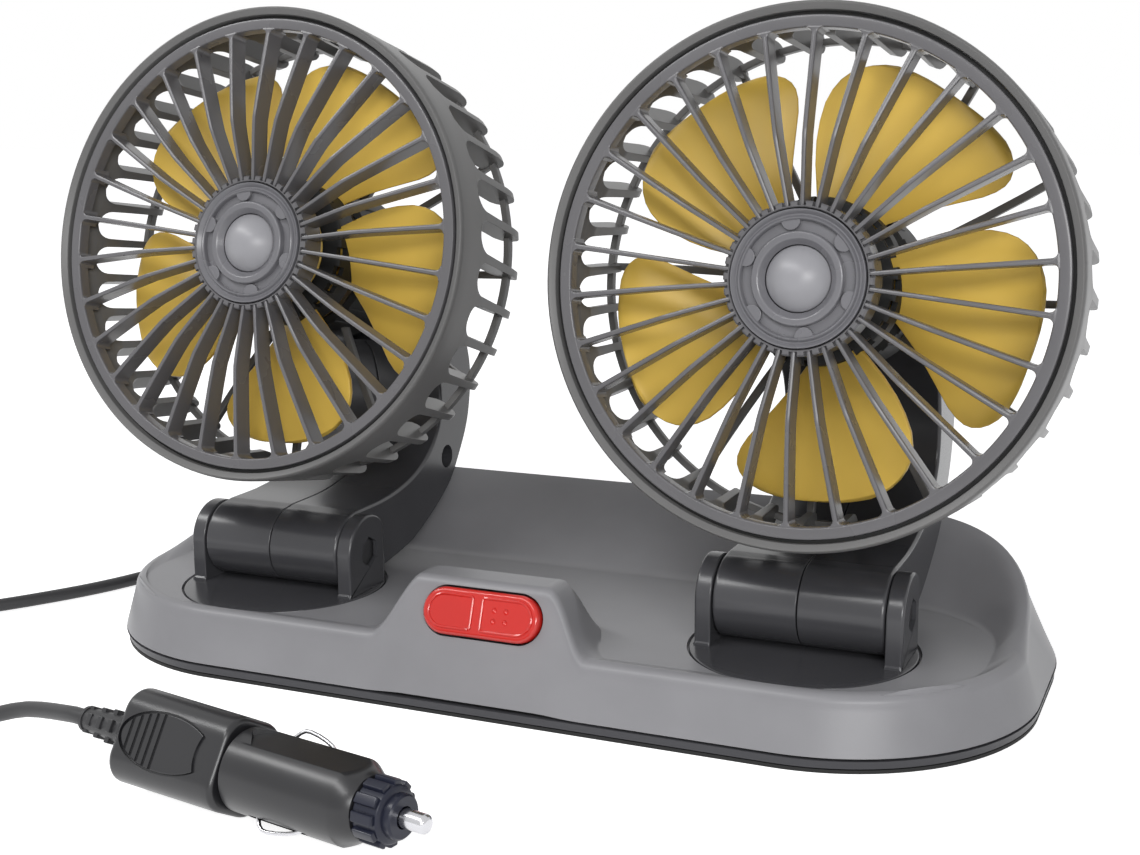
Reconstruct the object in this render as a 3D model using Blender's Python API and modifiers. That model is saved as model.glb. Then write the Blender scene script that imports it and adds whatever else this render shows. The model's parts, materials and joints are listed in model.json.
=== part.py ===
"""Dual head car fan, modelled piece by piece in metres, +Z up.

The base stands on Z=0 with its bottom centre at the origin. +X is to the right and -Y to the
front, where the switch and the two fan faces look. Each head is built round an axis frame
whose +Z runs rearwards along the fan's axis, with 0 at the groove round its face.
"""
import math

import bmesh
import bpy
from mathutils import Matrix, Vector

# General clearances and walls
GAP = 0.0003
RUN_GAP = 0.0006
WALL = 0.0020
OVERRUN = 0.0040
MERGE = 0.00001

# Base shell
BASE_LENGTH = 0.2698
BASE_DEPTH = 0.1425
BASE_FRONT_RADIUS = 0.0540
BASE_BACK_RADIUS = 0.0580
PAD_THICKNESS = 0.0010
SKIRT_UNDERCUT = 0.0004
BAND_INSET = 0.0006
BAND_HEIGHT = 0.0036
FLOOR_HEIGHT = 0.0174
RIM_FRONT_HEIGHT = 0.0181
RIM_BACK_HEIGHT = 0.0360
RIM_FRONT_INSET = 0.0080
RIM_BACK_INSET = 0.0255
RIM_SIDE_INSET = 0.0070
RIM_ROUND = 0.0030
RIM_RISE_FRONT_INSET = 0.04725
FLOOR_FRONT_INSET = 0.0115
FLOOR_SIDE_INSET = 0.0125
FLOOR_BACK_INSET = 0.0620
FLOOR_CORNER_RADIUS = 0.0300
FLOOR_WALL = 0.0025
CORNER_STEPS = 5

# Switch bump on the front skirt
BUMP_TOP_HEIGHT = 0.0335
BUMP_TOP_HALF_WIDTH = 0.0188
BUMP_FOOT_HALF_WIDTH = 0.0310
BUMP_RIDGE_DEPTH = 0.0070
BUMP_BACK_SLOPE = 0.70
BUMP_PROUD = 0.0001
SWITCH_LENGTH = 0.0330
SWITCH_HEIGHT = 0.0123
SWITCH_CENTRE_X = 0.0010
SWITCH_CENTRE_Z = 0.0255
SWITCH_PROUD = 0.0020
SWITCH_SKIN = 0.0016
SWITCH_BODY_DEPTH = 0.0040
SWITCH_BODY_SETBACK = 0.0042
SWITCH_STEM_RADIUS = 0.0018

# Turntables
HEAD_SPACING = 0.1551
DISC_FRONT_INSET = 0.03775
DISC_Y = DISC_FRONT_INSET - BASE_DEPTH / 2
DISC_RADIUS = 0.0290
DISC_THICKNESS = 0.0025
NECK_RADIUS = 0.0160
NECK_BORE_RADIUS = 0.0045
SEAT_THICKNESS = 0.0022
SEAT_RADIUS = 0.0315
CLIP_RADIUS = 0.0205
CLIP_THICKNESS = 0.0020

# Hinge between turntable and arm
HINGE_BEHIND_DISC = 0.0030
HINGE_Y = DISC_Y + HINGE_BEHIND_DISC
HINGE_Z = 0.0284
BARREL_RADIUS = 0.0107
BARREL_HALF_WIDTH = 0.0221
EAR_THICKNESS = 0.0044
BOLT_RADIUS = 0.0025
HEX_RADIUS = 0.0042
HEX_HEIGHT = 0.0017
HEX_RECESS = 0.0010

# Arm and head pivot, measured from the hinge axis
PIVOT_REACH = 0.0469
PIVOT_RISE = 0.0670
PIVOT_EYE_RADIUS = 0.0090
PIN_RADIUS = 0.0030
PIN_HALF_LENGTH = 0.0200
FORK_HALF_GAP = 0.0070
FORK_DEPTH = 0.0135
ARM_CHANNEL_DEPTH = 0.0170
ARM_SCREW_REACH = 0.0571
ARM_SCREW_RISE = 0.0158
ARM_SCREW_POCKET_RADIUS = 0.0036
ARM_SCREW_POCKET_DEPTH = 0.0120
ARM_SCREW_HEAD_RADIUS = 0.0030
ARM_SCREW_HEAD_HEIGHT = 0.0024
ARM_SCREW_RADIUS = 0.0015
ARM_SCREW_LENGTH = 0.0190

# Fan head, along its axis from the groove rearwards
LEFT_TILT = math.radians(12.3)
RIGHT_TILT = math.radians(8.4)
PIVOT_BEHIND = 0.0620
PIVOT_BELOW = 0.0080
RIM_RADIUS = 0.0653
RIM_WALL = 0.0023
LIP_PROUD = 0.0010
BAND_LENGTH = 0.0095
HOOP_RADIUS = 0.0640
HOOP_PLACE = 0.0325
HOOP_LENGTH = 0.0026
FIN_COUNT = 36
FIN_WIDTH = 0.0024
FINS_PER_RIB = 3
RIB_WIDTH = 0.0018
RIB_RISE = 0.0030
FIN_SWIRL = math.radians(2.5)
HOUSING_RADIUS = 0.0215
HOUSING_WALL = 0.0022
HOUSING_START = 0.0270
HOUSING_END = 0.0500
LUG_RADIUS = 0.0070
RING_STEPS = 30
HUB_STEPS = 16

# Front grille
GROOVE_WIDTH = 0.0010
GRILLE_RING_WIDTH = 0.0030
GRILLE_THICKNESS = 0.0034
FLANGE_THICKNESS = 0.0014
SPOKE_COUNT = 30
SPOKE_RIM_WIDTH = 0.0018
SPOKE_HUB_WIDTH = 0.0013
SPOKE_DEPTH = 0.0078
SPOKE_KINK_RADIUS = 0.0340
SPOKE_KINK_PROUD = 0.0040
COLLAR_RADIUS = 0.0184
COLLAR_WALL = 0.0016
COLLAR_PROUD = 0.0022
COLLAR_LENGTH = 0.0080
COLLAR_FLOOR = 0.0020
HUB_RING_INNER_RADIUS = 0.0096
HUB_RING_PROUD = 0.0032
CAP_RADIUS = 0.0092
CAP_PROUD = 0.0052

# Motor and impeller
MOTOR_RADIUS = 0.0188
MOTOR_LENGTH = 0.0195
SHAFT_RADIUS = 0.0015
SHAFT_START = 0.0130
IMPELLER_RADIUS = 0.0544
IMPELLER_HUB_RADIUS = 0.0155
IMPELLER_HUB_START = 0.0115
IMPELLER_HUB_LENGTH = 0.0130
BLADE_COUNT = 5
BLADE_THICKNESS = 0.0014
BLADE_SPAN = math.radians(60.0)
BLADE_SWEEP = math.radians(16.0)
BLADE_PLACE = 0.0190
BLADE_ROOT_RISE = 0.0100
BLADE_TIP_RISE = 0.0085

# Base bottom
COVER_THICKNESS = 0.0022
BOARD_LENGTH = 0.0600
BOARD_WIDTH = 0.0300
BOARD_THICKNESS = 0.0016
BOARD_BACK_INSET = 0.05125
POST_RADIUS = 0.0025
POST_HEIGHT = 0.0032
BOSS_RADIUS = 0.0040
FRONT_BOSS_SIDE_INSET = 0.0189
FRONT_BOSS_FRONT_INSET = 0.03725
FRONT_BOSS_TOP = 0.0160
BACK_BOSS_SIDE_INSET = 0.0749
BACK_BOSS_BACK_INSET = 0.01625
BACK_BOSS_TOP = 0.0190
COVER_SCREW_RADIUS = 0.0014
COVER_SCREW_HEAD_RADIUS = 0.0028
COVER_SCREW_HEAD_HEIGHT = 0.0012
COVER_SCREW_LENGTH = 0.0080

# Cord outlet
GLAND_X = -0.0700
GLAND_Z = 0.0090
GLAND_NECK_RADIUS = 0.0033
GLAND_ROOT_RADIUS = 0.0046
GLAND_TIP_RADIUS = 0.0029
GLAND_LENGTH = 0.0240
GLAND_NECK_LENGTH = 0.0120

# Plug, along its own axis from the cord end of its grip
PLUG_X = -0.0495
PLUG_Y = -0.1346
PLUG_TURN = math.radians(-11.0)
GRIP_ROLL = math.radians(-30.0)
GRIP_LENGTH = 0.0325
GRIP_HEIGHT = 0.0212
GRIP_WIDTH = 0.0184
GRIP_TAPER = -0.0006
GRIP_ROUND = 0.0060
PLUG_BARREL_RADIUS = 0.0094
PLUG_BARREL_NOSE_RADIUS = 0.0082
PLUG_BARREL_NOSE = 0.0040
PLUG_BARREL_LENGTH = 0.0358
PLUG_BORE_RADIUS = 0.0037
PLUG_CAP_RADIUS = 0.0072
PLUG_CAP_LENGTH = 0.0086
PLUG_CAP_WALL = 0.0022
PLUG_TIP_RADIUS = 0.0021
PLUG_TIP_LENGTH = 0.0064
PLUG_TIP_COLLAR_RADIUS = 0.0033
PLUG_TIP_COLLAR_LENGTH = 0.0016
PLUG_TIP_TRAVEL = 0.0022
FUSE_RADIUS = 0.0033
FUSE_LENGTH = 0.0300
SPRING_LENGTH = 0.0050
SPRING_WALL = 0.0010
WIRE_RADIUS = 0.0006
WIRE_PROUD = 0.0020
WIRE_LENGTH = 0.0140
WIRE_START = 0.0080
WIRE_TURN = math.radians(50.0)
WIRE_SLOT_WIDTH = 0.0024
RELIEF_LENGTH = 0.0200
RELIEF_ROOT_RADIUS = 0.0046
RELIEF_TIP_RADIUS = 0.0032
RELIEF_GROOVE = 0.0011
RELIEF_RIBS = 4

# Cord and its coil
CORD_DIAMETER = 0.0040
CORD_STEP = 0.0110
COIL_X = -0.1800
COIL_Y = -0.1020
COIL_MID_RADIUS = 0.0220
COIL_PITCH = 0.0045
COIL_LAYER_RISE = 0.0045
COIL_CLIMB_DRAW = 0.0012
COIL_TURNS_PER_LAYER = 2.43
COIL_LOOP_POINTS = 24
COIL_START_TURN = math.radians(135.0)
TIE_THICKNESS = 0.0006
TIE_WIDTH = 0.0040
TIE_TURN = math.radians(190.0)

# The cord's free stretches run through these places, chosen by hand
LEAD_ROUTE = [
    (-0.0700, 0.1060, 0.0085), (-0.0735, 0.1185, 0.0050), (-0.0860, 0.1265, 0.0024),
    (-0.1030, 0.1210, 0.0023), (-0.1220, 0.1010, 0.0023), (-0.1380, 0.0740, 0.0023),
    (-0.1465, 0.0420, 0.0023), (-0.1480, 0.0130, 0.0023), (-0.1560, -0.0150, 0.0023),
    (-0.1690, -0.0390, 0.0024), (-0.1848, -0.0625, 0.0028)]
END_ROUTE = [
    (-0.1650, -0.1342, 0.0068), (-0.1470, -0.1335, 0.0042), (-0.1270, -0.1285, 0.0026),
    (-0.1090, -0.1238, 0.0040), (-0.0940, -0.1238, 0.0082)]

# Colours as red, green, blue, roughness and metallic value
GREY = (0.155, 0.155, 0.160, 0.38, 0.0)
GRAPHITE = (0.055, 0.055, 0.060, 0.32, 0.0)
BLACK = (0.015, 0.015, 0.017, 0.45, 0.0)
RED = (0.62, 0.03, 0.02, 0.20, 0.0)
MUSTARD = (0.62, 0.42, 0.08, 0.45, 0.0)
STEEL = (0.60, 0.60, 0.62, 0.28, 1.0)
BOARD_GREEN = (0.03, 0.20, 0.07, 0.50, 0.0)
GLASS = (0.75, 0.80, 0.80, 0.15, 0.0)

for leftover in list(bpy.data.objects):
    bpy.data.objects.remove(leftover, do_unlink=True)
PARTS = bpy.data.collections.new("dual_head_car_fan")
CUTTERS = bpy.data.collections.new("cutters")
for collection in (PARTS, CUTTERS):
    bpy.context.scene.collection.children.link(collection)


def material_for(name, finish):
    """A plain Principled material with the piece's colour, roughness and metal."""
    red, green, blue, roughness, metallic = finish
    material = bpy.data.materials.new(name)
    material.use_nodes = True
    shader = material.node_tree.nodes["Principled BSDF"]
    shader.inputs["Base Color"].default_value = (red, green, blue, 1.0)
    shader.inputs["Roughness"].default_value = roughness
    shader.inputs["Metallic"].default_value = metallic
    return material


def object_from(bm, name, collection=CUTTERS):
    """An object with clean outward normals from a bmesh."""
    bmesh.ops.remove_doubles(bm, verts=bm.verts, dist=MERGE)
    bmesh.ops.recalc_face_normals(bm, faces=bm.faces)
    mesh = bpy.data.meshes.new(name)
    bm.to_mesh(mesh)
    bm.free()
    obj = bpy.data.objects.new(name, mesh)
    collection.objects.link(obj)
    if collection is CUTTERS:
        obj.hide_render = True
        obj.display_type = "WIRE"
    return obj


def finish_piece(obj, name, finish, parent=None, smooth=35.0):
    """Move a shape into the parts, with its name, material, shading and parent."""
    obj.name = name
    obj.data.name = name
    obj.hide_render = False
    obj.display_type = "TEXTURED"
    for collection in list(obj.users_collection):
        collection.objects.unlink(obj)
    PARTS.objects.link(obj)
    obj.data.materials.clear()
    obj.data.materials.append(material_for(name, finish))
    obj.data.shade_smooth()
    obj.data.set_sharp_from_angle(angle=math.radians(smooth))
    if parent is not None:
        obj.parent = parent
    return obj


def axis_frame(name, place, turn=(0.0, 0.0, 0.0), parent=None):
    """An empty on a joint's axis or along a fan's axis."""
    empty = bpy.data.objects.new(name, None)
    PARTS.objects.link(empty)
    empty.location = place
    empty.rotation_euler = turn
    if parent is not None:
        empty.parent = parent
    return empty


def box(size, centre, matrix=None):
    """A closed box of the given size about its centre."""
    bm = bmesh.new()
    bmesh.ops.create_cube(bm, size=1.0)
    bmesh.ops.scale(bm, vec=size, verts=bm.verts)
    bmesh.ops.translate(bm, vec=centre, verts=bm.verts)
    if matrix is not None:
        bm.transform(matrix)
    return object_from(bm, "box")


def rod(radius, start, end, steps=HUB_STEPS, turn=0.0):
    """A closed cylinder between two points."""
    start, end = Vector(start), Vector(end)
    along = end - start
    bm = bmesh.new()
    bmesh.ops.create_cone(bm, cap_ends=True, segments=steps, radius1=radius, radius2=radius,
                          depth=along.length, matrix=Matrix.Rotation(turn, 4, "Z"))
    bm.transform(Matrix.Translation((start + end) / 2)
                 @ along.to_track_quat("Z", "Y").to_matrix().to_4x4())
    return object_from(bm, "rod")


def turned(profile, steps=HUB_STEPS, closed=False):
    """A solid turned about Z from a profile of (radius, place) points, outer side first."""
    bm = bmesh.new()
    points = [bm.verts.new((radius, 0.0, place)) for radius, place in profile]
    for first, second in zip(points, points[1:]):
        bm.edges.new((first, second))
    if closed:
        bm.edges.new((points[-1], points[0]))
    outline = object_from(bm, "profile")
    screw = outline.modifiers.new("turn", "SCREW")
    screw.steps = steps
    screw.render_steps = steps
    screw.use_merge_vertices = True
    screw.merge_threshold = MERGE
    return as_mesh(outline)


def as_mesh(obj):
    """The evaluated shape of an object with its modifiers, as a plain mesh object."""
    bpy.context.view_layer.update()
    graph = bpy.context.evaluated_depsgraph_get()
    mesh = bpy.data.meshes.new_from_object(obj.evaluated_get(graph))
    bm = bmesh.new()
    bm.from_mesh(mesh)
    bpy.data.meshes.remove(mesh)
    bm.transform(obj.matrix_world)
    bpy.data.objects.remove(obj, do_unlink=True)
    return object_from(bm, "solid")


def combine(body, tool, operation):
    """Join a tool to a body, or cut it away, and remove the tool."""
    boolean = body.modifiers.new("combine", "BOOLEAN")
    boolean.operation = operation
    boolean.solver = "EXACT"
    boolean.object = tool
    bpy.context.view_layer.update()
    graph = bpy.context.evaluated_depsgraph_get()
    mesh = bpy.data.meshes.new_from_object(body.evaluated_get(graph))
    body.modifiers.clear()
    old = body.data
    body.data = mesh
    bpy.data.meshes.remove(old)
    bpy.data.objects.remove(tool, do_unlink=True)
    return body


def join(body, tool):
    return combine(body, tool, "UNION")


def cut(body, tool):
    return combine(body, tool, "DIFFERENCE")


def gathered(shapes):
    """Several separate closed shapes as one tool."""
    bm = bmesh.new()
    for shape in shapes:
        bm.from_mesh(shape.data)
        bpy.data.objects.remove(shape, do_unlink=True)
    return object_from(bm, "gathered")


def loft(rings):
    """A closed solid through rings of as many points each, capped at both ends."""
    bm = bmesh.new()
    loops = [[bm.verts.new(point) for point in ring] for ring in rings]
    count = len(loops[0])
    for lower, upper in zip(loops, loops[1:]):
        for i in range(count):
            j = (i + 1) % count
            bm.faces.new((lower[i], lower[j], upper[j], upper[i]))
    bm.faces.new(loops[0])
    bm.faces.new(loops[-1])
    return object_from(bm, "loft")


def prism(outline, start, end, place):
    """An outline pushed from start to end; place turns (u, v, along) into a point."""
    return loft([[place(u, v, along) for u, v in outline] for along in (start, end)])


def across(reach, rise, along):
    """Side view of the arm, from the hinge axis, as a point in the arm's frame."""
    return (along, reach, rise)


def stadium(length, height, steps=8):
    """A long round-ended outline about its centre."""
    radius = height / 2
    points = []
    for side in (1, -1):
        for step in range(steps + 1):
            angle = math.pi * step / steps - math.pi / 2
            points.append((side * (length / 2 - radius + radius * math.cos(angle)),
                           side * radius * math.sin(angle)))
    return points


def smooth_share(share):
    """A share from 0 to 1 that starts and ends level."""
    share = min(1.0, max(0.0, share))
    return share * share * (3 - 2 * share)


def rounded_outline(half_length, front, back, front_radius, back_radius):
    """The base's rounded rectangle, counter-clockwise from its front right corner."""
    fit_share = min(1.0, (back - front) / (front_radius + back_radius))
    front_radius, back_radius = front_radius * fit_share, back_radius * fit_share
    corners = [(1, front + front_radius, front_radius, -90),
               (1, back - back_radius, back_radius, 0),
               (-1, back - back_radius, back_radius, 90),
               (-1, front + front_radius, front_radius, 180)]
    points = []
    for side, centre_y, radius, start in corners:
        centre_x = side * (half_length - radius)
        for step in range(CORNER_STEPS + 1):
            angle = math.radians(start + 90 * step / CORNER_STEPS)
            points.append((centre_x + radius * math.cos(angle),
                           centre_y + radius * math.sin(angle)))
    return points


def base_outline(inset):
    """The base's footprint drawn in by an inset."""
    return rounded_outline(BASE_LENGTH / 2 - inset, inset - BASE_DEPTH / 2,
                           BASE_DEPTH / 2 - inset, BASE_FRONT_RADIUS - inset,
                           BASE_BACK_RADIUS - inset)


def rim_outline(inset):
    """The crest of the base's rim, drawn in by an inset."""
    return rounded_outline(
        BASE_LENGTH / 2 - RIM_SIDE_INSET - inset,
        RIM_FRONT_INSET + inset - BASE_DEPTH / 2,
        BASE_DEPTH / 2 - RIM_BACK_INSET - inset,
        BASE_FRONT_RADIUS - RIM_FRONT_INSET - inset,
        BASE_BACK_RADIUS - RIM_SIDE_INSET - inset)


def floor_outline(inset):
    """The edge of the tray's flat floor."""
    return rounded_outline(
        BASE_LENGTH / 2 - FLOOR_SIDE_INSET - inset,
        FLOOR_FRONT_INSET + inset - BASE_DEPTH / 2,
        BASE_DEPTH / 2 - FLOOR_BACK_INSET - inset,
        FLOOR_CORNER_RADIUS - inset,
        FLOOR_CORNER_RADIUS - inset)


def rim_heights():
    """The rim's height at each point of the outline: low in front, high behind."""
    start = RIM_RISE_FRONT_INSET - BASE_DEPTH / 2
    back = BASE_DEPTH / 2 - RIM_BACK_INSET
    heights = []
    for _, y in rim_outline(0.0):
        share = smooth_share((y - start) / (back - start))
        heights.append(RIM_FRONT_HEIGHT + share * (RIM_BACK_HEIGHT - RIM_FRONT_HEIGHT))
    return heights


def level(outline, height):
    return [(x, y, height) for x, y in outline]


def between(outer, inner, share):
    return [(a[0] + share * (b[0] - a[0]), a[1] + share * (b[1] - a[1]))
            for a, b in zip(outer, inner)]


def raised(outline, drop_share, drop=0.0):
    """An outline lifted to the rim, less a share of the rise from the floor and a drop."""
    points = []
    for (x, y), rim in zip(outline, rim_heights()):
        points.append((x, y, rim - drop_share * (rim - FLOOR_HEIGHT) - drop))
    return points


def base_solid():
    """The base's outer form: skirt, rounded rim, sweep and tray floor."""
    crest_share, sweep_shares = 0.30, ((0.36, 0.42), (0.70, 0.82))
    inner = rim_outline(RIM_ROUND * crest_share)
    rings = [level(base_outline(BAND_INSET + SKIRT_UNDERCUT), PAD_THICKNESS + GAP),
             level(base_outline(BAND_INSET), BAND_HEIGHT),
             raised(rim_outline(-RIM_ROUND), 0.0, RIM_ROUND),
             raised(rim_outline(-RIM_ROUND * crest_share), 0.0, RIM_ROUND * crest_share ** 2),
             raised(inner, 0.0)]
    for place_share, drop_share in sweep_shares:
        rings.append(raised(between(inner, floor_outline(0.0), place_share), drop_share))
    rings.append(level(floor_outline(0.0), FLOOR_HEIGHT))
    return loft(rings)


def base_cavity():
    """The room under the shell, open at the bottom."""
    roof = FLOOR_HEIGHT - FLOOR_WALL
    inner = rim_outline(WALL)
    drop = RIM_ROUND + GAP
    wall_inset = WALL + BAND_INSET + SKIRT_UNDERCUT
    return loft([level(base_outline(wall_inset), -OVERRUN),
                 level(base_outline(wall_inset), BAND_HEIGHT),
                 raised(rim_outline(WALL - RIM_ROUND), 0.0, drop),
                 raised(inner, 0.0, drop),
                 level(floor_outline(-WALL), roof)])


def skirt_slope():
    """How far the front skirt leans back for each unit of height."""
    lean = RIM_FRONT_INSET - RIM_ROUND - BAND_INSET
    rise = RIM_FRONT_HEIGHT - RIM_ROUND - BAND_HEIGHT
    return lean / rise


def skirt_y(height):
    return skirt_slope() * (height - BAND_HEIGHT) + BAND_INSET - BASE_DEPTH / 2


def bump_outline():
    """Front view of the bump: concave feet, sloping sides and a rounded top."""
    flare_shares = ((1.00, 0.00), (0.77, 0.06), (0.57, 0.17), (0.365, 0.34), (0.16, 0.65),
                    (0.085, 0.84), (-0.015, 0.94), (-0.145, 0.99), (-0.27, 1.00))
    foot = FLOOR_HEIGHT - FLOOR_WALL
    flare = BUMP_FOOT_HALF_WIDTH - BUMP_TOP_HALF_WIDTH
    rise = BUMP_TOP_HEIGHT - foot
    right = [(BUMP_TOP_HALF_WIDTH + flare * out_share, foot + rise * up_share)
             for out_share, up_share in flare_shares]
    return right + [(-x, z) for x, z in reversed(right)]


def bump_solid():
    """The bump, its face in line with the skirt and its back sloping into the tray."""
    outline = bump_outline()
    foot = FLOOR_HEIGHT - FLOOR_WALL / 2
    ridge_y = skirt_y(BUMP_TOP_HEIGHT) + BUMP_RIDGE_DEPTH
    front = [(x, skirt_y(z) - BUMP_PROUD, z) for x, z in outline]
    ridge = [(x, skirt_y(z) + BUMP_RIDGE_DEPTH, z) for x, z in outline]
    back = [(x, ridge_y + BUMP_BACK_SLOPE * (z - foot), min(z, foot)) for x, z in outline]
    return loft([front, ridge, back])


def face_frame():
    """The bump's face at the switch: X along it, Y into it, Z up it."""
    lean = math.atan(skirt_slope())
    place = Vector((SWITCH_CENTRE_X, skirt_y(SWITCH_CENTRE_Z), SWITCH_CENTRE_Z))
    return Matrix.Translation(place) @ Matrix.Rotation(-lean, 4, "X")


def on_face(shape):
    """Lay a shape made about the origin onto the bump's face."""
    shape.data.transform(face_frame())
    return shape


def into_face(u, v, along):
    return (u, along, v)


def well(side):
    """The turntable's recess in the tray and the hole for its neck."""
    x = side * HEAD_SPACING / 2
    seat = FLOOR_HEIGHT - DISC_THICKNESS - GAP
    recess = rod(DISC_RADIUS + RUN_GAP, (x, DISC_Y, seat),
                 (x, DISC_Y, FLOOR_HEIGHT + OVERRUN), RING_STEPS)
    hole = rod(NECK_RADIUS + RUN_GAP, (x, DISC_Y, seat - SEAT_THICKNESS - OVERRUN),
               (x, DISC_Y, FLOOR_HEIGHT), HUB_STEPS)
    return recess, hole


def boss_places():
    """Centre and top of each post that takes a cover screw."""
    places = []
    for side in (-1, 1):
        places.append((side * (BASE_LENGTH / 2 - FRONT_BOSS_SIDE_INSET),
                       FRONT_BOSS_FRONT_INSET - BASE_DEPTH / 2, FRONT_BOSS_TOP))
        places.append((side * (BASE_LENGTH / 2 - BACK_BOSS_SIDE_INSET),
                       BASE_DEPTH / 2 - BACK_BOSS_BACK_INSET, BACK_BOSS_TOP))
    return places


def cover_bottom():
    return PAD_THICKNESS + GAP


def cover_top():
    return cover_bottom() + COVER_THICKNESS


def make_base_shell():
    """The moulded top shell with its tray, wall, bump, wells and screw posts."""
    shell = join(base_solid(), bump_solid())
    shell = cut(shell, base_cavity())
    seat = FLOOR_HEIGHT - DISC_THICKNESS - GAP
    additions = []
    for side in (-1, 1):
        x = side * HEAD_SPACING / 2
        additions.append(rod(SEAT_RADIUS, (x, DISC_Y, seat - SEAT_THICKNESS),
                             (x, DISC_Y, FLOOR_HEIGHT - FLOOR_WALL / 2), HUB_STEPS))
    for x, y, top in boss_places():
        additions.append(rod(BOSS_RADIUS, (x, y, cover_top() + GAP), (x, y, top), 8))
    shell = join(shell, gathered(additions))
    for side in (-1, 1):
        for tool in well(side):
            shell = cut(shell, tool)
    pilots = [rod(COVER_SCREW_RADIUS + GAP, (x, y, 0.0),
                  (x, y, cover_top() + COVER_SCREW_LENGTH), 8) for x, y, _ in boss_places()]
    shell = cut(shell, gathered(pilots))
    mouth = prism(stadium(SWITCH_LENGTH + 2 * RUN_GAP, SWITCH_HEIGHT + 2 * RUN_GAP),
                  -OVERRUN, SWITCH_BODY_SETBACK, into_face)
    shell = cut(shell, on_face(mouth))
    depth = SWITCH_BODY_SETBACK + SWITCH_BODY_DEPTH + RUN_GAP
    room = box((SWITCH_LENGTH, depth - WALL, SWITCH_HEIGHT * 2),
               (0.0, (depth + WALL) / 2, -SWITCH_HEIGHT / 2))
    shell = cut(shell, on_face(room))
    outlet = rod(GLAND_NECK_RADIUS + GAP,
                 (GLAND_X, BASE_DEPTH / 2 - GLAND_LENGTH, GLAND_Z),
                 (GLAND_X, BASE_DEPTH / 2 + OVERRUN, GLAND_Z), 16)
    shell = cut(shell, outlet)
    return finish_piece(shell, "base_shell", GREY)


def make_base_bottom():
    """The cover plate with its board posts, the pad, the screws and the board."""
    inset = BAND_INSET + SKIRT_UNDERCUT + WALL + GAP
    cover = loft([level(base_outline(inset), cover_bottom()),
                  level(base_outline(inset), cover_top())])
    board_y = BASE_DEPTH / 2 - BOARD_BACK_INSET
    posts = []
    for x_side in (-1, 1):
        for y_side in (-1, 1):
            x = x_side * (BOARD_LENGTH / 2 - POST_RADIUS)
            y = board_y + y_side * (BOARD_WIDTH / 2 - POST_RADIUS)
            posts.append(rod(POST_RADIUS, (x, y, cover_top() - COVER_THICKNESS / 2),
                             (x, y, cover_top() + POST_HEIGHT), 8))
    cover = join(cover, gathered(posts))
    holes = []
    for x, y, _ in boss_places():
        holes.append(rod(COVER_SCREW_RADIUS + GAP, (x, y, 0.0), (x, y, cover_top() + OVERRUN), 8))
        holes.append(rod(COVER_SCREW_HEAD_RADIUS + GAP, (x, y, 0.0),
                         (x, y, cover_bottom() + COVER_SCREW_HEAD_HEIGHT + GAP), 8))
    for hole in holes:
        cover = cut(cover, hole)
    finish_piece(cover, "base_cover", BLACK)
    pad = loft([level(base_outline(0.0), 0.0), level(base_outline(0.0), PAD_THICKNESS)])
    finish_piece(pad, "base_pad", BLACK)
    for number, (x, y, _) in enumerate(boss_places(), 1):
        head = cover_bottom() + COVER_SCREW_HEAD_HEIGHT
        screw = rod(COVER_SCREW_HEAD_RADIUS, (x, y, cover_bottom()), (x, y, head), 8)
        shank = rod(COVER_SCREW_RADIUS, (x, y, head - COVER_SCREW_HEAD_HEIGHT / 2),
                    (x, y, cover_top() + COVER_SCREW_LENGTH - GAP), 8)
        finish_piece(join(screw, shank), "cover_screw_%d" % number, STEEL)
    board = box((BOARD_LENGTH, BOARD_WIDTH, BOARD_THICKNESS),
                (0.0, board_y, cover_top() + POST_HEIGHT + GAP + BOARD_THICKNESS / 2))
    finish_piece(board, "circuit_board", BOARD_GREEN)


def make_switch():
    """The rocker and the switch body behind it, in the bump's face."""
    body = box((SWITCH_LENGTH - 2 * WALL, SWITCH_BODY_DEPTH, SWITCH_HEIGHT - 2 * GAP),
               (0.0, SWITCH_BODY_SETBACK + SWITCH_BODY_DEPTH / 2, 0.0))
    finish_piece(on_face(body), "switch_body", BLACK)
    edge, crown = stadium(SWITCH_LENGTH, SWITCH_HEIGHT), SWITCH_PROUD / 2
    top_share = 0.90
    top = [(u * top_share, v * top_share) for u, v in edge]
    rocker = loft([[into_face(u, v, SWITCH_SKIN) for u, v in edge],
                   [into_face(u, v, -crown) for u, v in edge],
                   [into_face(u, v, -SWITCH_PROUD) for u, v in top]])
    stem = rod(SWITCH_STEM_RADIUS, (0.0, 0.0, 0.0), (0.0, SWITCH_BODY_SETBACK - GAP, 0.0), 12)
    rocker = on_face(join(rocker, stem))
    axis = axis_frame("switch_axis", face_frame() @ Vector((0.0, SWITCH_SKIN, 0.0)))
    rocker.data.transform(Matrix.Translation(-axis.location))
    finish_piece(rocker, "switch_rocker", RED, axis)


def make_gland():
    """The strain relief where the cord leaves the base's rear."""
    root = BASE_DEPTH / 2 + GAP
    profile = [(0.0, root + GLAND_LENGTH), (GLAND_TIP_RADIUS, root + GLAND_LENGTH),
               (GLAND_ROOT_RADIUS, root), (GLAND_NECK_RADIUS, root),
               (GLAND_NECK_RADIUS, root - GLAND_NECK_LENGTH), (0.0, root - GLAND_NECK_LENGTH)]
    gland = turned(profile, 16)
    gland.data.transform(Matrix.Translation((GLAND_X, 0.0, GLAND_Z))
                         @ Matrix.Rotation(math.radians(-90), 4, "X"))
    finish_piece(gland, "cord_gland", BLACK)


def hinge_height():
    return HINGE_Z - FLOOR_HEIGHT


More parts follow.
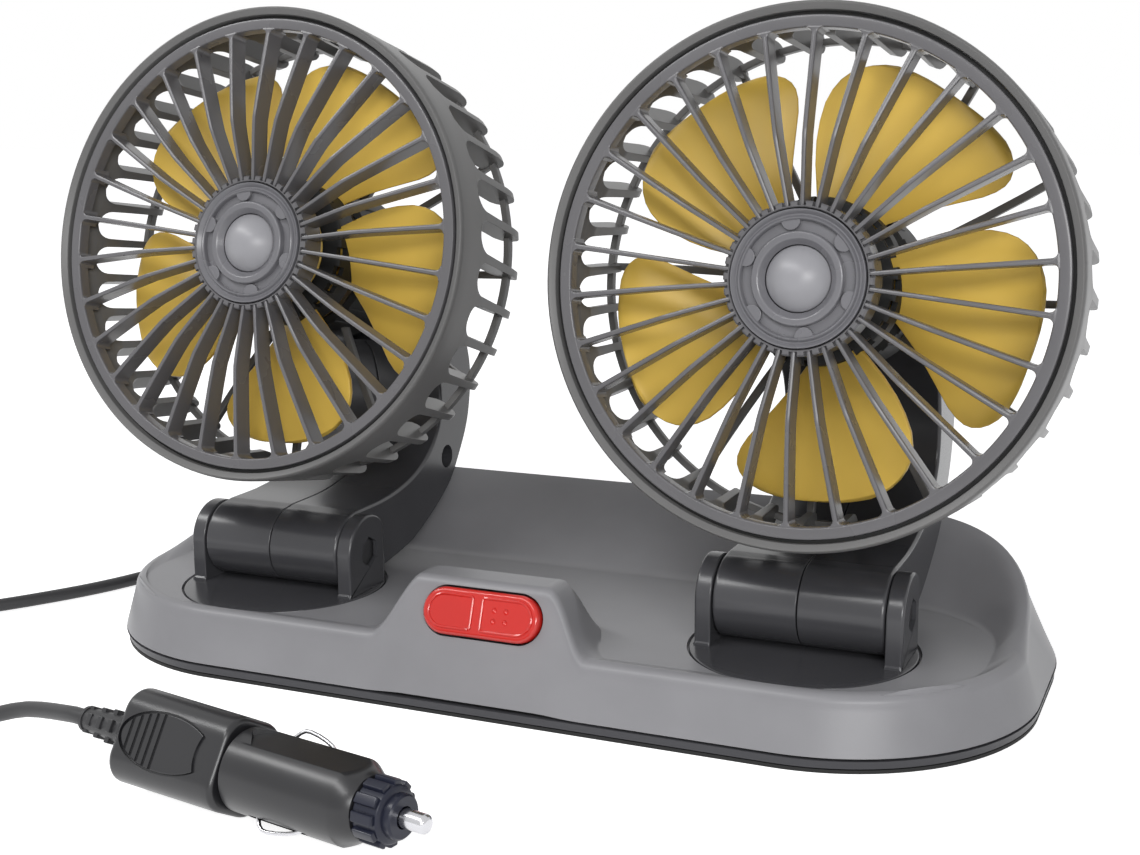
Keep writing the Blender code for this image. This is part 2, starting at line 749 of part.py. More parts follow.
def ear(side):
    """One ear of the turntable, round about the hinge axis."""
    steps = 12
    outline = [(BARREL_RADIUS * math.cos(math.pi * i / steps),
                BARREL_RADIUS * math.sin(math.pi * i / steps)) for i in range(steps + 1)]
    foot = -hinge_height() - DISC_THICKNESS / 2
    outline += [(-BARREL_RADIUS, foot), (BARREL_RADIUS, foot)]
    inner = BARREL_HALF_WIDTH + GAP
    return prism(outline, side * inner, side * (inner + EAR_THICKNESS), across)


def hex_rod(radius, start, end):
    return rod(radius, start, end, 6)


def make_turntable(side, name):
    """The disc with its neck and ears, and the clip that holds it under the tray."""
    spin = axis_frame(name + "turntable_axis", (side * HEAD_SPACING / 2, DISC_Y, 0.0))
    hinge = Vector((0.0, HINGE_Y - DISC_Y, HINGE_Z))
    bottom = FLOOR_HEIGHT - DISC_THICKNESS
    neck_end = bottom - GAP - SEAT_THICKNESS - GAP - CLIP_THICKNESS
    disc = turned([(0.0, FLOOR_HEIGHT), (DISC_RADIUS, FLOOR_HEIGHT), (DISC_RADIUS, bottom),
                   (NECK_RADIUS, bottom), (NECK_RADIUS, neck_end), (0.0, neck_end)], RING_STEPS)
    for ear_side in (-1, 1):
        shape = ear(ear_side)
        shape.data.transform(Matrix.Translation(hinge))
        within = rod(DISC_RADIUS - GAP, (0.0, 0.0, 0.0), (0.0, 0.0, 2 * HINGE_Z), RING_STEPS)
        disc = join(disc, combine(shape, within, "INTERSECT"))
    bore = rod(NECK_BORE_RADIUS, (0.0, 0.0, neck_end - OVERRUN), (0.0, 0.0, FLOOR_HEIGHT), 12)
    reach = BARREL_HALF_WIDTH + GAP + EAR_THICKNESS
    axle = rod(BOLT_RADIUS + GAP, hinge - Vector((reach + OVERRUN, 0.0, 0.0)),
               hinge + Vector((reach + OVERRUN, 0.0, 0.0)), 10)
    disc = cut(cut(disc, bore), axle)
    for ear_side in (-1, 1):
        pocket = hex_rod(HEX_RADIUS + GAP,
                         hinge + Vector((ear_side * (reach - HEX_HEIGHT - HEX_RECESS), 0.0, 0.0)),
                         hinge + Vector((ear_side * (reach + OVERRUN), 0.0, 0.0)))
        disc = cut(disc, pocket)
    finish_piece(disc, name + "turntable", GRAPHITE, spin)
    top = neck_end + CLIP_THICKNESS
    inner = (NECK_RADIUS + GAP) / math.cos(math.pi / HUB_STEPS)
    clip = turned([(inner, top), (CLIP_RADIUS, top), (CLIP_RADIUS, neck_end), (inner, neck_end)],
                  HUB_STEPS, closed=True)
    finish_piece(clip, name + "turntable_clip", BLACK, spin)
    return spin


def make_hinge_bolt(name, spin):
    """The hinge axle: a bolt with a hex head, and its nut."""
    hinge = axis_frame(name + "hinge_axis", (0.0, HINGE_Y - DISC_Y, HINGE_Z), parent=spin)
    outer = BARREL_HALF_WIDTH + GAP + EAR_THICKNESS - HEX_RECESS
    seat = outer - HEX_HEIGHT + GAP
    head = hex_rod(HEX_RADIUS, (seat, 0.0, 0.0), (outer, 0.0, 0.0))
    shank = rod(BOLT_RADIUS, (-outer, 0.0, 0.0), (seat + HEX_HEIGHT / 2, 0.0, 0.0), 10)
    finish_piece(join(head, shank), name + "hinge_bolt", STEEL, hinge)
    nut = hex_rod(HEX_RADIUS, (-outer, 0.0, 0.0), (-seat, 0.0, 0.0))
    nut = cut(nut, rod(BOLT_RADIUS + GAP, (-outer - OVERRUN, 0.0, 0.0), (0.0, 0.0, 0.0), 10))
    finish_piece(nut, name + "hinge_nut", STEEL, hinge)
    return hinge


def arm_outline():
    """Side view of the arm: barrel, curved beam and the eye at the head pivot."""
    top_shares = ((0.19, 1.03), (1.80, 1.05), (3.10, 1.26), (4.00, 1.62), (4.62, 2.12),
                  (4.98, 2.72), (5.02, 3.60), (4.72, 4.55), (4.10, 5.15))
    rear_shares = ((6.05, 5.75), (6.75, 4.80), (7.02, 3.80), (6.90, 2.80), (6.62, 2.05),
                   (6.05, 1.22), (5.55, 0.66), (4.70, 0.12), (3.40, -0.48), (2.45, -0.70),
                   (1.30, -0.86))
    size = BARREL_RADIUS
    points = [(size * u, size * v) for u, v in top_shares]
    for step in range(9):
        angle = math.radians(200 - 200 * step / 8)
        points.append((PIVOT_REACH + PIVOT_EYE_RADIUS * math.cos(angle),
                       PIVOT_RISE + PIVOT_EYE_RADIUS * math.sin(angle)))
    points += [(size * u, size * v) for u, v in rear_shares]
    for step in range(11):
        angle = math.radians(-70 - 200 * step / 10)
        points.append((size * math.cos(angle), size * math.sin(angle)))
    return points


def arm_channel():
    """Side view of the wire channel inside the arm."""
    upper_shares, lower_shares = ((1.6, 0.55), (3.0, 0.75), (4.1, 1.15)), \
        ((4.3, 0.45), (3.2, 0.05), (1.7, -0.20))
    size = BARREL_RADIUS
    return [(size * u, size * v) for u, v in upper_shares + lower_shares]


def make_arm(name, hinge):
    """The arm's two shells, the screw between them and the pin at its top."""
    screw_at = (ARM_SCREW_REACH, ARM_SCREW_RISE)
    for side, half in ((-1, "arm_left_half"), (1, "arm_right_half")):
        shell = prism(arm_outline(), side * GAP / 2, side * BARREL_HALF_WIDTH, across)
        shell = cut(shell, prism(arm_channel(), -side * OVERRUN, side * ARM_CHANNEL_DEPTH, across))
        far = side * (BARREL_HALF_WIDTH + OVERRUN)
        near = -side * OVERRUN
        shell = cut(shell, rod(BOLT_RADIUS + GAP, (near, 0.0, 0.0), (far, 0.0, 0.0), 10))
        shell = cut(shell, rod(PIN_RADIUS + GAP, (near, PIVOT_REACH, PIVOT_RISE),
                               (side * PIN_HALF_LENGTH + side * GAP, PIVOT_REACH, PIVOT_RISE), 10))
        gap = box((FORK_HALF_GAP + OVERRUN, 2 * FORK_DEPTH, 2 * FORK_DEPTH),
                  (side * (FORK_HALF_GAP - OVERRUN) / 2, PIVOT_REACH, PIVOT_RISE))
        shell = cut(shell, gap)
        hole_end = far if side > 0 else side * (ARM_SCREW_LENGTH - ARM_SCREW_POCKET_DEPTH)
        shell = cut(shell, rod(ARM_SCREW_RADIUS + GAP, (near,) + screw_at,
                               (hole_end,) + screw_at, 8))
        if side > 0:
            floor = BARREL_HALF_WIDTH - ARM_SCREW_POCKET_DEPTH
            shell = cut(shell, rod(ARM_SCREW_POCKET_RADIUS, (floor,) + screw_at,
                                   (far,) + screw_at, 12))
        finish_piece(shell, name + half, GRAPHITE, hinge)
    floor = BARREL_HALF_WIDTH - ARM_SCREW_POCKET_DEPTH + GAP
    screw = rod(ARM_SCREW_HEAD_RADIUS, (floor,) + screw_at,
                (floor + ARM_SCREW_HEAD_HEIGHT,) + screw_at, 16)
    shank = rod(ARM_SCREW_RADIUS, (floor + ARM_SCREW_HEAD_HEIGHT / 2,) + screw_at,
                (floor + ARM_SCREW_HEAD_HEIGHT / 2 - ARM_SCREW_LENGTH + 2 * GAP,) + screw_at, 12)
    finish_piece(join(screw, shank), name + "arm_screw", STEEL, hinge)
    pin = rod(PIN_RADIUS, (-PIN_HALF_LENGTH, PIVOT_REACH, PIVOT_RISE),
              (PIN_HALF_LENGTH, PIVOT_REACH, PIVOT_RISE), 10)
    finish_piece(pin, name + "head_pin", STEEL, hinge)


def around(radius, angle, place):
    return (radius * math.cos(angle), radius * math.sin(angle), place)


def cage_lattice():
    """Band, swirl fins, hoop and back ribs: one sheet with windows, given its thickness."""
    middle = RIM_RADIUS - RIM_WALL / 2
    hoop = HOOP_RADIUS - RIM_WALL / 2
    rib_end = HOUSING_RADIUS - HOUSING_WALL / 2
    back = HOOP_PLACE + HOOP_LENGTH
    rows = [(middle, -LIP_PROUD, 0.0, FIN_WIDTH), (middle, BAND_LENGTH, 0.0, FIN_WIDTH),
            (hoop, HOOP_PLACE, FIN_SWIRL, FIN_WIDTH),
            (hoop - HOOP_LENGTH, back, FIN_SWIRL, FIN_WIDTH),
            (rib_end, back + RIB_RISE, 2 * FIN_SWIRL, RIB_WIDTH)]
    bm = bmesh.new()
    grid = []
    for radius, place, swirl, width in rows:
        ring = []
        for i in range(FIN_COUNT):
            angle = 2 * math.pi * i / FIN_COUNT + swirl
            half = width / radius / 2
            ring += [bm.verts.new(around(radius, angle - half, place)),
                     bm.verts.new(around(radius, angle + half, place))]
        grid.append(ring)
    for row, (low, high) in enumerate(zip(grid, grid[1:])):
        for i in range(2 * FIN_COUNT):
            j = (i + 1) % (2 * FIN_COUNT)
            on_fin = i % 2 == 0
            on_rib = i % (2 * FINS_PER_RIB) == 0
            if row in (0, 2) or (row == 1 and on_fin) or (row == 3 and on_rib):
                bm.faces.new((low[i], low[j], high[j], high[i]))
    loose = [vert for vert in bm.verts if not vert.link_faces]
    bmesh.ops.delete(bm, geom=loose, context="VERTS")
    sheet = object_from(bm, "lattice")
    solid = sheet.modifiers.new("thickness", "SOLIDIFY")
    solid.thickness = RIM_WALL
    solid.offset = 0.0
    solid.use_even_offset = True
    return as_mesh(sheet)


def make_rear_cage(name, axis):
    """Rim band, fins, hoop, motor housing and pivot lug in one moulding."""
    bore = HOUSING_RADIUS - HOUSING_WALL
    cup = turned([(0.0, HOUSING_END), (HOUSING_RADIUS, HOUSING_END),
                  (HOUSING_RADIUS, HOUSING_START), (bore, HOUSING_START),
                  (bore, HOUSING_END - HOUSING_WALL), (0.0, HOUSING_END - HOUSING_WALL)],
                 HUB_STEPS)
    cage = join(cage_lattice(), cup)
    width = FORK_HALF_GAP - GAP
    steps = 10
    outline = [(HOUSING_END - HOUSING_WALL / 2, PIVOT_BELOW - LUG_RADIUS)]
    for step in range(steps + 1):
        angle = math.radians(-90 + 180 * step / steps)
        outline.append((PIVOT_BEHIND + LUG_RADIUS * math.cos(angle),
                        PIVOT_BELOW + LUG_RADIUS * math.sin(angle)))
    outline.append((HOUSING_END - HOUSING_WALL / 2, PIVOT_BELOW + LUG_RADIUS))
    lug = prism(outline, -width, width, lambda back, down, along: (along, down, back))
    hole = rod(PIN_RADIUS + GAP, (-width - OVERRUN, PIVOT_BELOW, PIVOT_BEHIND),
               (width + OVERRUN, PIVOT_BELOW, PIVOT_BEHIND), 10)
    cage = join(cage, cut(lug, hole))
    finish_piece(cage, name + "rear_cage", GRAPHITE, axis)


def spoke(angle):
    """One grille spoke, a thin web from the ring in over the kink to the collar."""
    outer = RIM_RADIUS - RIM_WALL - GROOVE_WIDTH - GRILLE_RING_WIDTH / 2
    depth = SPOKE_DEPTH
    middle_width = (SPOKE_RIM_WIDTH + SPOKE_HUB_WIDTH) / 2
    rings = []
    for radius, front, width in ((outer, 0.0, SPOKE_RIM_WIDTH),
                                 (SPOKE_KINK_RADIUS, -SPOKE_KINK_PROUD, middle_width),
                                 (COLLAR_RADIUS - COLLAR_WALL / 2, -COLLAR_PROUD, SPOKE_HUB_WIDTH)):
        half = width / radius / 2
        rings.append([around(radius, angle - half, front), around(radius, angle + half, front),
                      around(radius, angle + half, front + depth),
                      around(radius, angle - half, front + depth)])
    return loft(rings)


def make_front_grille(name, axis):
    """Ring, 30 spokes and the collar that holds the hub's trim."""
    outer = RIM_RADIUS - RIM_WALL - GROOVE_WIDTH
    inner = outer - GRILLE_RING_WIDTH
    flange = RIM_RADIUS - RIM_WALL - GAP
    flange_start = GRILLE_THICKNESS - FLANGE_THICKNESS
    ring = turned([(flange, GRILLE_THICKNESS), (flange, flange_start), (outer, flange_start),
                   (outer, -GAP), (inner, -GAP), (inner, GRILLE_THICKNESS)],
                  RING_STEPS, closed=True)
    bore = COLLAR_RADIUS - COLLAR_WALL
    collar = turned([(0.0, COLLAR_LENGTH - COLLAR_PROUD),
                     (COLLAR_RADIUS, COLLAR_LENGTH - COLLAR_PROUD),
                     (COLLAR_RADIUS, -COLLAR_PROUD - GAP), (bore, -COLLAR_PROUD - GAP),
                     (bore, COLLAR_FLOOR), (0.0, COLLAR_FLOOR)], HUB_STEPS)
    step = 2 * math.pi / SPOKE_COUNT
    grille = gathered([spoke(step * (i + 0.5)) for i in range(SPOKE_COUNT)])
    grille = join(join(grille, ring), collar)
    finish_piece(grille, name + "front_grille", GRAPHITE, axis)


def make_hub_trim(name, axis):
    """The ring and the domed cap in the grille's collar."""
    outer = COLLAR_RADIUS - COLLAR_WALL - GAP
    back = COLLAR_FLOOR - GAP
    ring = turned([(outer, back), (outer, -COLLAR_PROUD), (outer - COLLAR_WALL, -HUB_RING_PROUD),
                   (HUB_RING_INNER_RADIUS, -HUB_RING_PROUD), (HUB_RING_INNER_RADIUS, back)],
                  HUB_STEPS, closed=True)
    finish_piece(ring, name + "hub_ring", GRAPHITE, axis)
    dome_shares = ((1.0, 0.25), (0.86, 0.74), (0.50, 0.95))
    profile = [(0.0, back), (CAP_RADIUS, back)]
    profile += [(CAP_RADIUS * wide, -CAP_PROUD * tall) for wide, tall in dome_shares]
    profile.append((0.0, -CAP_PROUD))
    finish_piece(turned(profile), name + "hub_cap", GRAPHITE, axis)


def make_motor(name, axis):
    """The motor in the rear housing."""
    end = HOUSING_END - HOUSING_WALL - GAP
    start = end - MOTOR_LENGTH
    bore = SHAFT_RADIUS + GAP
    motor = turned([(bore, end), (MOTOR_RADIUS, end), (MOTOR_RADIUS, start), (bore, start)],
                   HUB_STEPS, closed=True)
    finish_piece(motor, name + "motor", STEEL, axis)


def blade(angle):
    """One impeller blade, a thin twisted petal from the hub to the tip."""
    radial_shares = (0.0, 0.35, 0.76, 1.0)
    across_shares = (0.0, 0.30, 0.70, 1.0)
    span_shares = (0.62, 0.92, 1.00, 0.62)
    root = IMPELLER_HUB_RADIUS - WALL
    bm = bmesh.new()
    rows = []
    for out_share, span_share in zip(radial_shares, span_shares):
        radius = root + out_share * (IMPELLER_RADIUS - root)
        rise = BLADE_ROOT_RISE + out_share * (BLADE_TIP_RISE - BLADE_ROOT_RISE)
        row = []
        for share in across_shares:
            turn = angle + BLADE_SWEEP * out_share + BLADE_SPAN * span_share * (share - 0.5)
            place = BLADE_PLACE + rise * (share - 0.5)
            row.append(bm.verts.new(around(radius, turn, place)))
        rows.append(row)
    for low, high in zip(rows, rows[1:]):
        for i in range(len(low) - 1):
            bm.faces.new((low[i], low[i + 1], high[i + 1], high[i]))
    sheet = object_from(bm, "blade")
    solid = sheet.modifiers.new("thickness", "SOLIDIFY")
    solid.thickness = BLADE_THICKNESS
    solid.offset = 0.0
    return as_mesh(sheet)


def make_impeller(name, axis):
    """Five blades on a cup hub, and the shaft that turns it."""
    spin = axis_frame(name + "impeller_axis", (0.0, 0.0, 0.0), parent=axis)
    end = IMPELLER_HUB_START + IMPELLER_HUB_LENGTH
    bore = SHAFT_RADIUS + GAP
    hub = turned([(bore, end), (IMPELLER_HUB_RADIUS, end),
                  (IMPELLER_HUB_RADIUS, IMPELLER_HUB_START + WALL),
                  (IMPELLER_HUB_RADIUS - WALL, IMPELLER_HUB_START), (bore, IMPELLER_HUB_START)],
                 HUB_STEPS, closed=True)
    step = 2 * math.pi / BLADE_COUNT
    blades = gathered([blade(step * i) for i in range(BLADE_COUNT)])
    finish_piece(join(hub, blades), name + "impeller", MUSTARD, spin)
    motor_end = HOUSING_END - HOUSING_WALL - 2 * GAP
    shaft = rod(SHAFT_RADIUS, (0.0, 0.0, SHAFT_START), (0.0, 0.0, motor_end), 12)
    finish_piece(shaft, name + "motor_shaft", STEEL, spin)


def make_side(side, name, tilt):
    """One turntable, arm and fan head."""
    spin = make_turntable(side, name)
    hinge = make_hinge_bolt(name, spin)
    make_arm(name, hinge)
    pivot = axis_frame(name + "head_axis", (0.0, PIVOT_REACH, PIVOT_RISE),
                       (-tilt, 0.0, 0.0), hinge)
    axis = axis_frame(name + "fan_axis", (0.0, -PIVOT_BEHIND, PIVOT_BELOW),
                      (math.radians(-90), 0.0, 0.0), pivot)
    make_rear_cage(name, axis)
    make_front_grille(name, axis)
    make_hub_trim(name, axis)
    make_motor(name, axis)
    make_impeller(name, axis)


def lay_along(shape):
    """Turn a shape made along Z so that it runs along X."""
    shape.data.transform(Matrix.Rotation(math.radians(90), 4, "Y"))
    return shape


def grip_ring(place, inset, height, width):
    """One rounded section of the plug's grip."""
    steps, points = 3, []
    radius = max(GRIP_ROUND - inset, GRIP_ROUND / 3)
    for corner in range(4):
        sign_y, sign_z = ((1, 1), (-1, 1), (-1, -1), (1, -1))[corner]
        for step in range(steps + 1):
            angle = math.radians(90 * corner + 90 * step / steps)
            points.append((place,
                           sign_y * (width / 2 - inset - radius) + radius * math.cos(angle),
                           sign_z * (height / 2 - inset - radius) + radius * math.sin(angle)))
    return points


def plug_wire(side):
    """One sprung side contact, a wire that bows out of its slot."""
    start = GRIP_LENGTH + GAP + WIRE_START
    inside = PLUG_BARREL_RADIUS - 2 * WIRE_RADIUS
    out = PLUG_BARREL_RADIUS + WIRE_PROUD
    bow_shares = ((0.00, 0.0), (0.10, 0.55), (0.22, 1.0), (0.60, 0.80), (0.86, 0.45), (1.0, 0.0))
    curve = bpy.data.curves.new("wire", "CURVE")
    curve.dimensions = "3D"
    curve.bevel_depth = WIRE_RADIUS
    curve.bevel_resolution = 1
    curve.use_fill_caps = True
    spline = curve.splines.new("POLY")
    spline.points.add(len(bow_shares) - 1)
    for point, (along_share, out_share) in zip(spline.points, bow_shares):
        radius = inside + (out - inside) * out_share
        point.co = (start + WIRE_LENGTH * along_share,
                    side * radius * math.cos(WIRE_TURN), side * radius * math.sin(WIRE_TURN), 1.0)
    obj = bpy.data.objects.new("wire", curve)
    CUTTERS.objects.link(obj)
    return as_mesh(obj)


def plug_height():
    """Height of the plug's axis, with the rolled grip's lowest edge on the floor."""
    widest = max(0.0, -GRIP_TAPER) / 2
    across = (GRIP_WIDTH / 2 + widest - GRIP_ROUND) * abs(math.sin(GRIP_ROLL))
    upright = (GRIP_HEIGHT / 2 + widest - GRIP_ROUND) * math.cos(GRIP_ROLL)
    return across + upright + GRIP_ROUND


def make_plug():
    """The lighter plug: grip, barrel, screw cap, fuse, spring, contacts and relief."""
    plug = axis_frame("plug_axis", (PLUG_X, PLUG_Y, plug_height()), (0.0, 0.0, PLUG_TURN))
    slim = GRIP_TAPER
    edge = GRIP_ROUND / 3
    grip = loft([grip_ring(0.0, edge, GRIP_HEIGHT - slim, GRIP_WIDTH - slim),
                 grip_ring(edge, 0.0, GRIP_HEIGHT - slim, GRIP_WIDTH - slim),
                 grip_ring(GRIP_LENGTH - edge, 0.0, GRIP_HEIGHT, GRIP_WIDTH),
                 grip_ring(GRIP_LENGTH, edge, GRIP_HEIGHT, GRIP_WIDTH)])
    grip.data.transform(Matrix.Rotation(GRIP_ROLL, 4, "X"))
    finish_piece(grip, "plug_body", BLACK, plug)

    start = GRIP_LENGTH + GAP
    end = start + PLUG_BARREL_LENGTH
    barrel = turned([(PLUG_BORE_RADIUS, end), (PLUG_BARREL_NOSE_RADIUS, end),
                     (PLUG_BARREL_RADIUS, end - PLUG_BARREL_NOSE), (PLUG_BARREL_RADIUS, start),
                     (PLUG_BORE_RADIUS, start)], HUB_STEPS, closed=True)
    lay_along(barrel)
    for side in (-1, 1):
        middle = start + WIRE_START + WIRE_LENGTH / 2
        slot_height = PLUG_BARREL_RADIUS - PLUG_BORE_RADIUS - WALL / 2
        slot = box((WIRE_LENGTH + 4 * WIRE_RADIUS, WIRE_SLOT_WIDTH, slot_height),
                   (middle, 0.0, PLUG_BARREL_RADIUS - slot_height / 2 + OVERRUN / 4))
        turn = math.radians(-90) + WIRE_TURN if side > 0 else math.radians(90) + WIRE_TURN
        slot.data.transform(Matrix.Rotation(turn, 4, "X"))
        barrel = cut(barrel, slot)
    finish_piece(barrel, "plug_barrel", BLACK, plug)
    for side, label in ((1, "plug_contact_upper"), (-1, "plug_contact_lower")):
        finish_piece(plug_wire(side), label, STEEL, plug)

    cap_start = end + GAP
    cap_end = cap_start + PLUG_CAP_LENGTH
    room = PLUG_BORE_RADIUS
    hole = PLUG_TIP_RADIUS + GAP
    cap = turned([(hole, cap_end), (PLUG_CAP_RADIUS - edge, cap_end),
                  (PLUG_CAP_RADIUS, cap_end - edge), (PLUG_CAP_RADIUS, cap_start),
                  (room, cap_start), (room, cap_end - PLUG_CAP_WALL),
                  (hole, cap_end - PLUG_CAP_WALL)], HUB_STEPS, closed=True)
    finish_piece(lay_along(cap), "plug_cap", BLACK, plug)

    tip_end = cap_end + PLUG_TIP_LENGTH
    collar_front = cap_end - PLUG_CAP_WALL - GAP
    collar_back = collar_front - PLUG_TIP_COLLAR_LENGTH
    nose = PLUG_TIP_RADIUS / 3
    tip = turned([(0.0, tip_end), (PLUG_TIP_RADIUS - nose, tip_end),
                  (PLUG_TIP_RADIUS, tip_end - nose), (PLUG_TIP_RADIUS, collar_front),
                  (PLUG_TIP_COLLAR_RADIUS, collar_front), (PLUG_TIP_COLLAR_RADIUS, collar_back),
                  (0.0, collar_back)], 16)
    axis = axis_frame("plug_tip_axis", (0.0, 0.0, 0.0), parent=plug)
    finish_piece(lay_along(tip), "plug_tip", STEEL, axis)

    fuse_end = collar_back - GAP
    fuse_start = fuse_end - FUSE_LENGTH
    fuse = rod(FUSE_RADIUS, (fuse_start, 0.0, 0.0), (fuse_end, 0.0, 0.0), 16)
    finish_piece(fuse, "plug_fuse", GLASS, axis)
    spring_end = fuse_start - PLUG_TIP_TRAVEL - GAP
    spring_inner = PLUG_BORE_RADIUS - GAP - SPRING_WALL
    spring_start = spring_end - SPRING_LENGTH
    spring = turned([(FUSE_RADIUS, spring_end), (FUSE_RADIUS, spring_start),
                     (spring_inner, spring_start), (spring_inner, spring_end)], 16, closed=True)
    finish_piece(lay_along(spring), "plug_spring", STEEL, plug)

    profile = [(0.0, -GAP)]
    for rib in range(RELIEF_RIBS):
        for share, drop in ((0.05, 0.0), (0.50, 0.0), (0.55, RELIEF_GROOVE), (1.0, RELIEF_GROOVE)):
            along = (rib + share) / RELIEF_RIBS
            radius = RELIEF_ROOT_RADIUS + along * (RELIEF_TIP_RADIUS - RELIEF_ROOT_RADIUS)
            profile.append((radius - drop, -GAP - along * RELIEF_LENGTH))
    profile.append((0.0, -GAP - RELIEF_LENGTH))
    relief = turned(profile, 10)
    finish_piece(lay_along(relief), "plug_relief", BLACK, plug)
    return plug


def smooth_route(points, step):
    """Points a step apart along a smooth curve through the route's points."""
    route = [Vector(point) for point in points]
    ends = [2 * route[0] - route[1]] + route + [2 * route[-1] - route[-2]]
    fine, pieces = [], 12
    for a, b, c, d in zip(ends, ends[1:], ends[2:], ends[3:]):
        for i in range(pieces):
            t = i / pieces
            fine.append(((2 * b) + (c - a) * t + (2 * a - 5 * b + 4 * c - d) * t * t
                         + (3 * b - a - 3 * c + d) * t ** 3) / 2)
    fine.append(route[-1])
    lengths = [0.0]
    for first, second in zip(fine, fine[1:]):
        lengths.append(lengths[-1] + (second - first).length)
    count = max(2, round(lengths[-1] / step))
    result = []
    for i in range(count + 1):
        target = lengths[-1] * i / count
        index = max(k for k in range(len(fine) - 1) if lengths[k] <= target + MERGE)
        span = lengths[index + 1] - lengths[index]
        result.append(fine[index].lerp(fine[index + 1], (target - lengths[index]) / span))
    return result


def cord_tube(points, resolution):
    """A round tube along a list of points, as a closed mesh."""
    curve = bpy.data.curves.new("cord", "CURVE")
    curve.dimensions = "3D"
    curve.bevel_depth = CORD_DIAMETER / 2
    curve.bevel_resolution = resolution
    curve.use_fill_caps = True
    spline = curve.splines.new("POLY")
    spline.points.add(len(points) - 1)
    for place, point in zip(spline.points, points):
        place.co = (point[0], point[1], point[2], 1.0)
    obj = bpy.data.objects.new("cord", curve)
    CUTTERS.objects.link(obj)
    return as_mesh(obj)


def coil_points():
    """The coil: in along the lower layer, up in half a turn, and out along the upper one."""
    half = COIL_PITCH * COIL_TURNS_PER_LAYER / 2
    outer, inner = COIL_MID_RADIUS + half, COIL_MID_RADIUS - half
    low = CORD_DIAMETER / 2 + TIE_THICKNESS + GAP
    total = 2 * COIL_TURNS_PER_LAYER + 0.5
    count = round(total * COIL_LOOP_POINTS)
    points = []
    for i in range(count + 1):
        turns = total * i / count
        if turns < COIL_TURNS_PER_LAYER:
            radius, lift = outer - COIL_PITCH * turns, 0.0
        elif turns < COIL_TURNS_PER_LAYER + 0.5:
            climb_share = (turns - COIL_TURNS_PER_LAYER) * 2
            radius = inner - COIL_CLIMB_DRAW * math.sin(math.pi * climb_share)
            lift = smooth_share(climb_share)
        else:
            radius, lift = inner + COIL_PITCH * (turns - COIL_TURNS_PER_LAYER - 0.5), 1.0
        angle = COIL_START_TURN + 2 * math.pi * turns
        points.append(Vector((COIL_X + radius * math.cos(angle),
                              COIL_Y + radius * math.sin(angle),
                              low + COIL_LAYER_RISE * lift)))
    first = (points[0] - points[1]).normalized() * CORD_DIAMETER
    last = (points[-1] - points[-2]).normalized() * CORD_DIAMETER
    return [points[0] + first] + points + [points[-1] + last]


def least_self_gap(points):
    """The least gap between the coil's turns, measured between its points."""
    least, reach = CORD_DIAMETER, COIL_LOOP_POINTS // 2
    for i, first in enumerate(points):
        for second in points[i + reach:]:
            least = min(least, (first - second).length - CORD_DIAMETER)
    return least


def make_cord(plug):
    """The lead from the base, the coil with its tie, and the end that reaches the plug."""
    coil = coil_points()
    print("least gap of the coil to itself, mm: %.3f" % (least_self_gap(coil) * 1000))
    bpy.context.view_layer.update()
    exit_end = Vector((GLAND_X, BASE_DEPTH / 2 + GLAND_LENGTH + 2 * GAP, GLAND_Z))
    into_coil = (coil[0] - coil[1]).normalized()
    lead = [exit_end, exit_end + Vector((0.0, CORD_DIAMETER, 0.0))]
    lead += [Vector(point) for point in LEAD_ROUTE]
    lead += [coil[0] + into_coil * (CORD_DIAMETER + GAP), coil[0] + into_coil * GAP]
    finish_piece(cord_tube(smooth_route(lead, CORD_STEP), 2), "cord_lead", BLACK)
    finish_piece(cord_tube(coil, 1), "cord_coil", BLACK)
    out_of_coil = (coil[-1] - coil[-2]).normalized()
    relief_end = plug.matrix_world @ Vector((-RELIEF_LENGTH - 2 * GAP, 0.0, 0.0))
    relief_run = plug.matrix_world @ Vector((-RELIEF_LENGTH - 2 * GAP - CORD_DIAMETER, 0.0, 0.0))
    end = [coil[-1] + out_of_coil * GAP, coil[-1] + out_of_coil * (CORD_DIAMETER + GAP)]
    end += [Vector(point) for point in END_ROUTE] + [relief_run, relief_end]
    finish_piece(cord_tube(smooth_route(end, CORD_STEP), 2), "cord_end", BLACK)
    lengths = []
    for stretch in (smooth_route(lead, CORD_STEP), coil, smooth_route(end, CORD_STEP)):
        lengths.append(sum((b - a).length for a, b in zip(stretch, stretch[1:])))
    print("cord lengths, mm: " + ", ".join("%.1f" % (length * 1000) for length in lengths))


def make_coil_tie():
    """A flat band round the coil's turns."""
    half = COIL_PITCH * COIL_TURNS_PER_LAYER / 2 + CORD_DIAMETER / 2 + GAP
    low, high = TIE_THICKNESS, TIE_THICKNESS + 2 * GAP + CORD_DIAMETER + COIL_LAYER_RISE
    outer = box((2 * (half + TIE_THICKNESS), TIE_WIDTH, high + TIE_THICKNESS),
                (COIL_MID_RADIUS, 0.0, (high + TIE_THICKNESS) / 2))
    inner = box((2 * half, TIE_WIDTH + OVERRUN, high - low), (COIL_MID_RADIUS, 0.0, (high + low) / 2))
    tie = cut(outer, inner)
    tie.data.transform(Matrix.Translation((COIL_X, COIL_Y, 0.0))
                       @ Matrix.Rotation(TIE_TURN, 4, "Z"))
    finish_piece(tie, "coil_tie", BLACK)


make_base_shell()
make_base_bottom()
make_switch()
make_gland()
make_side(-1, "left_", LEFT_TILT)
make_side(1, "right_", RIGHT_TILT)
make_cord(make_plug())
make_coil_tie()
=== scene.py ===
"""The looks of the dual head car fan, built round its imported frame. Metres, +Z up."""
import json
import math

import bmesh
import bpy
from mathutils import Matrix, Vector


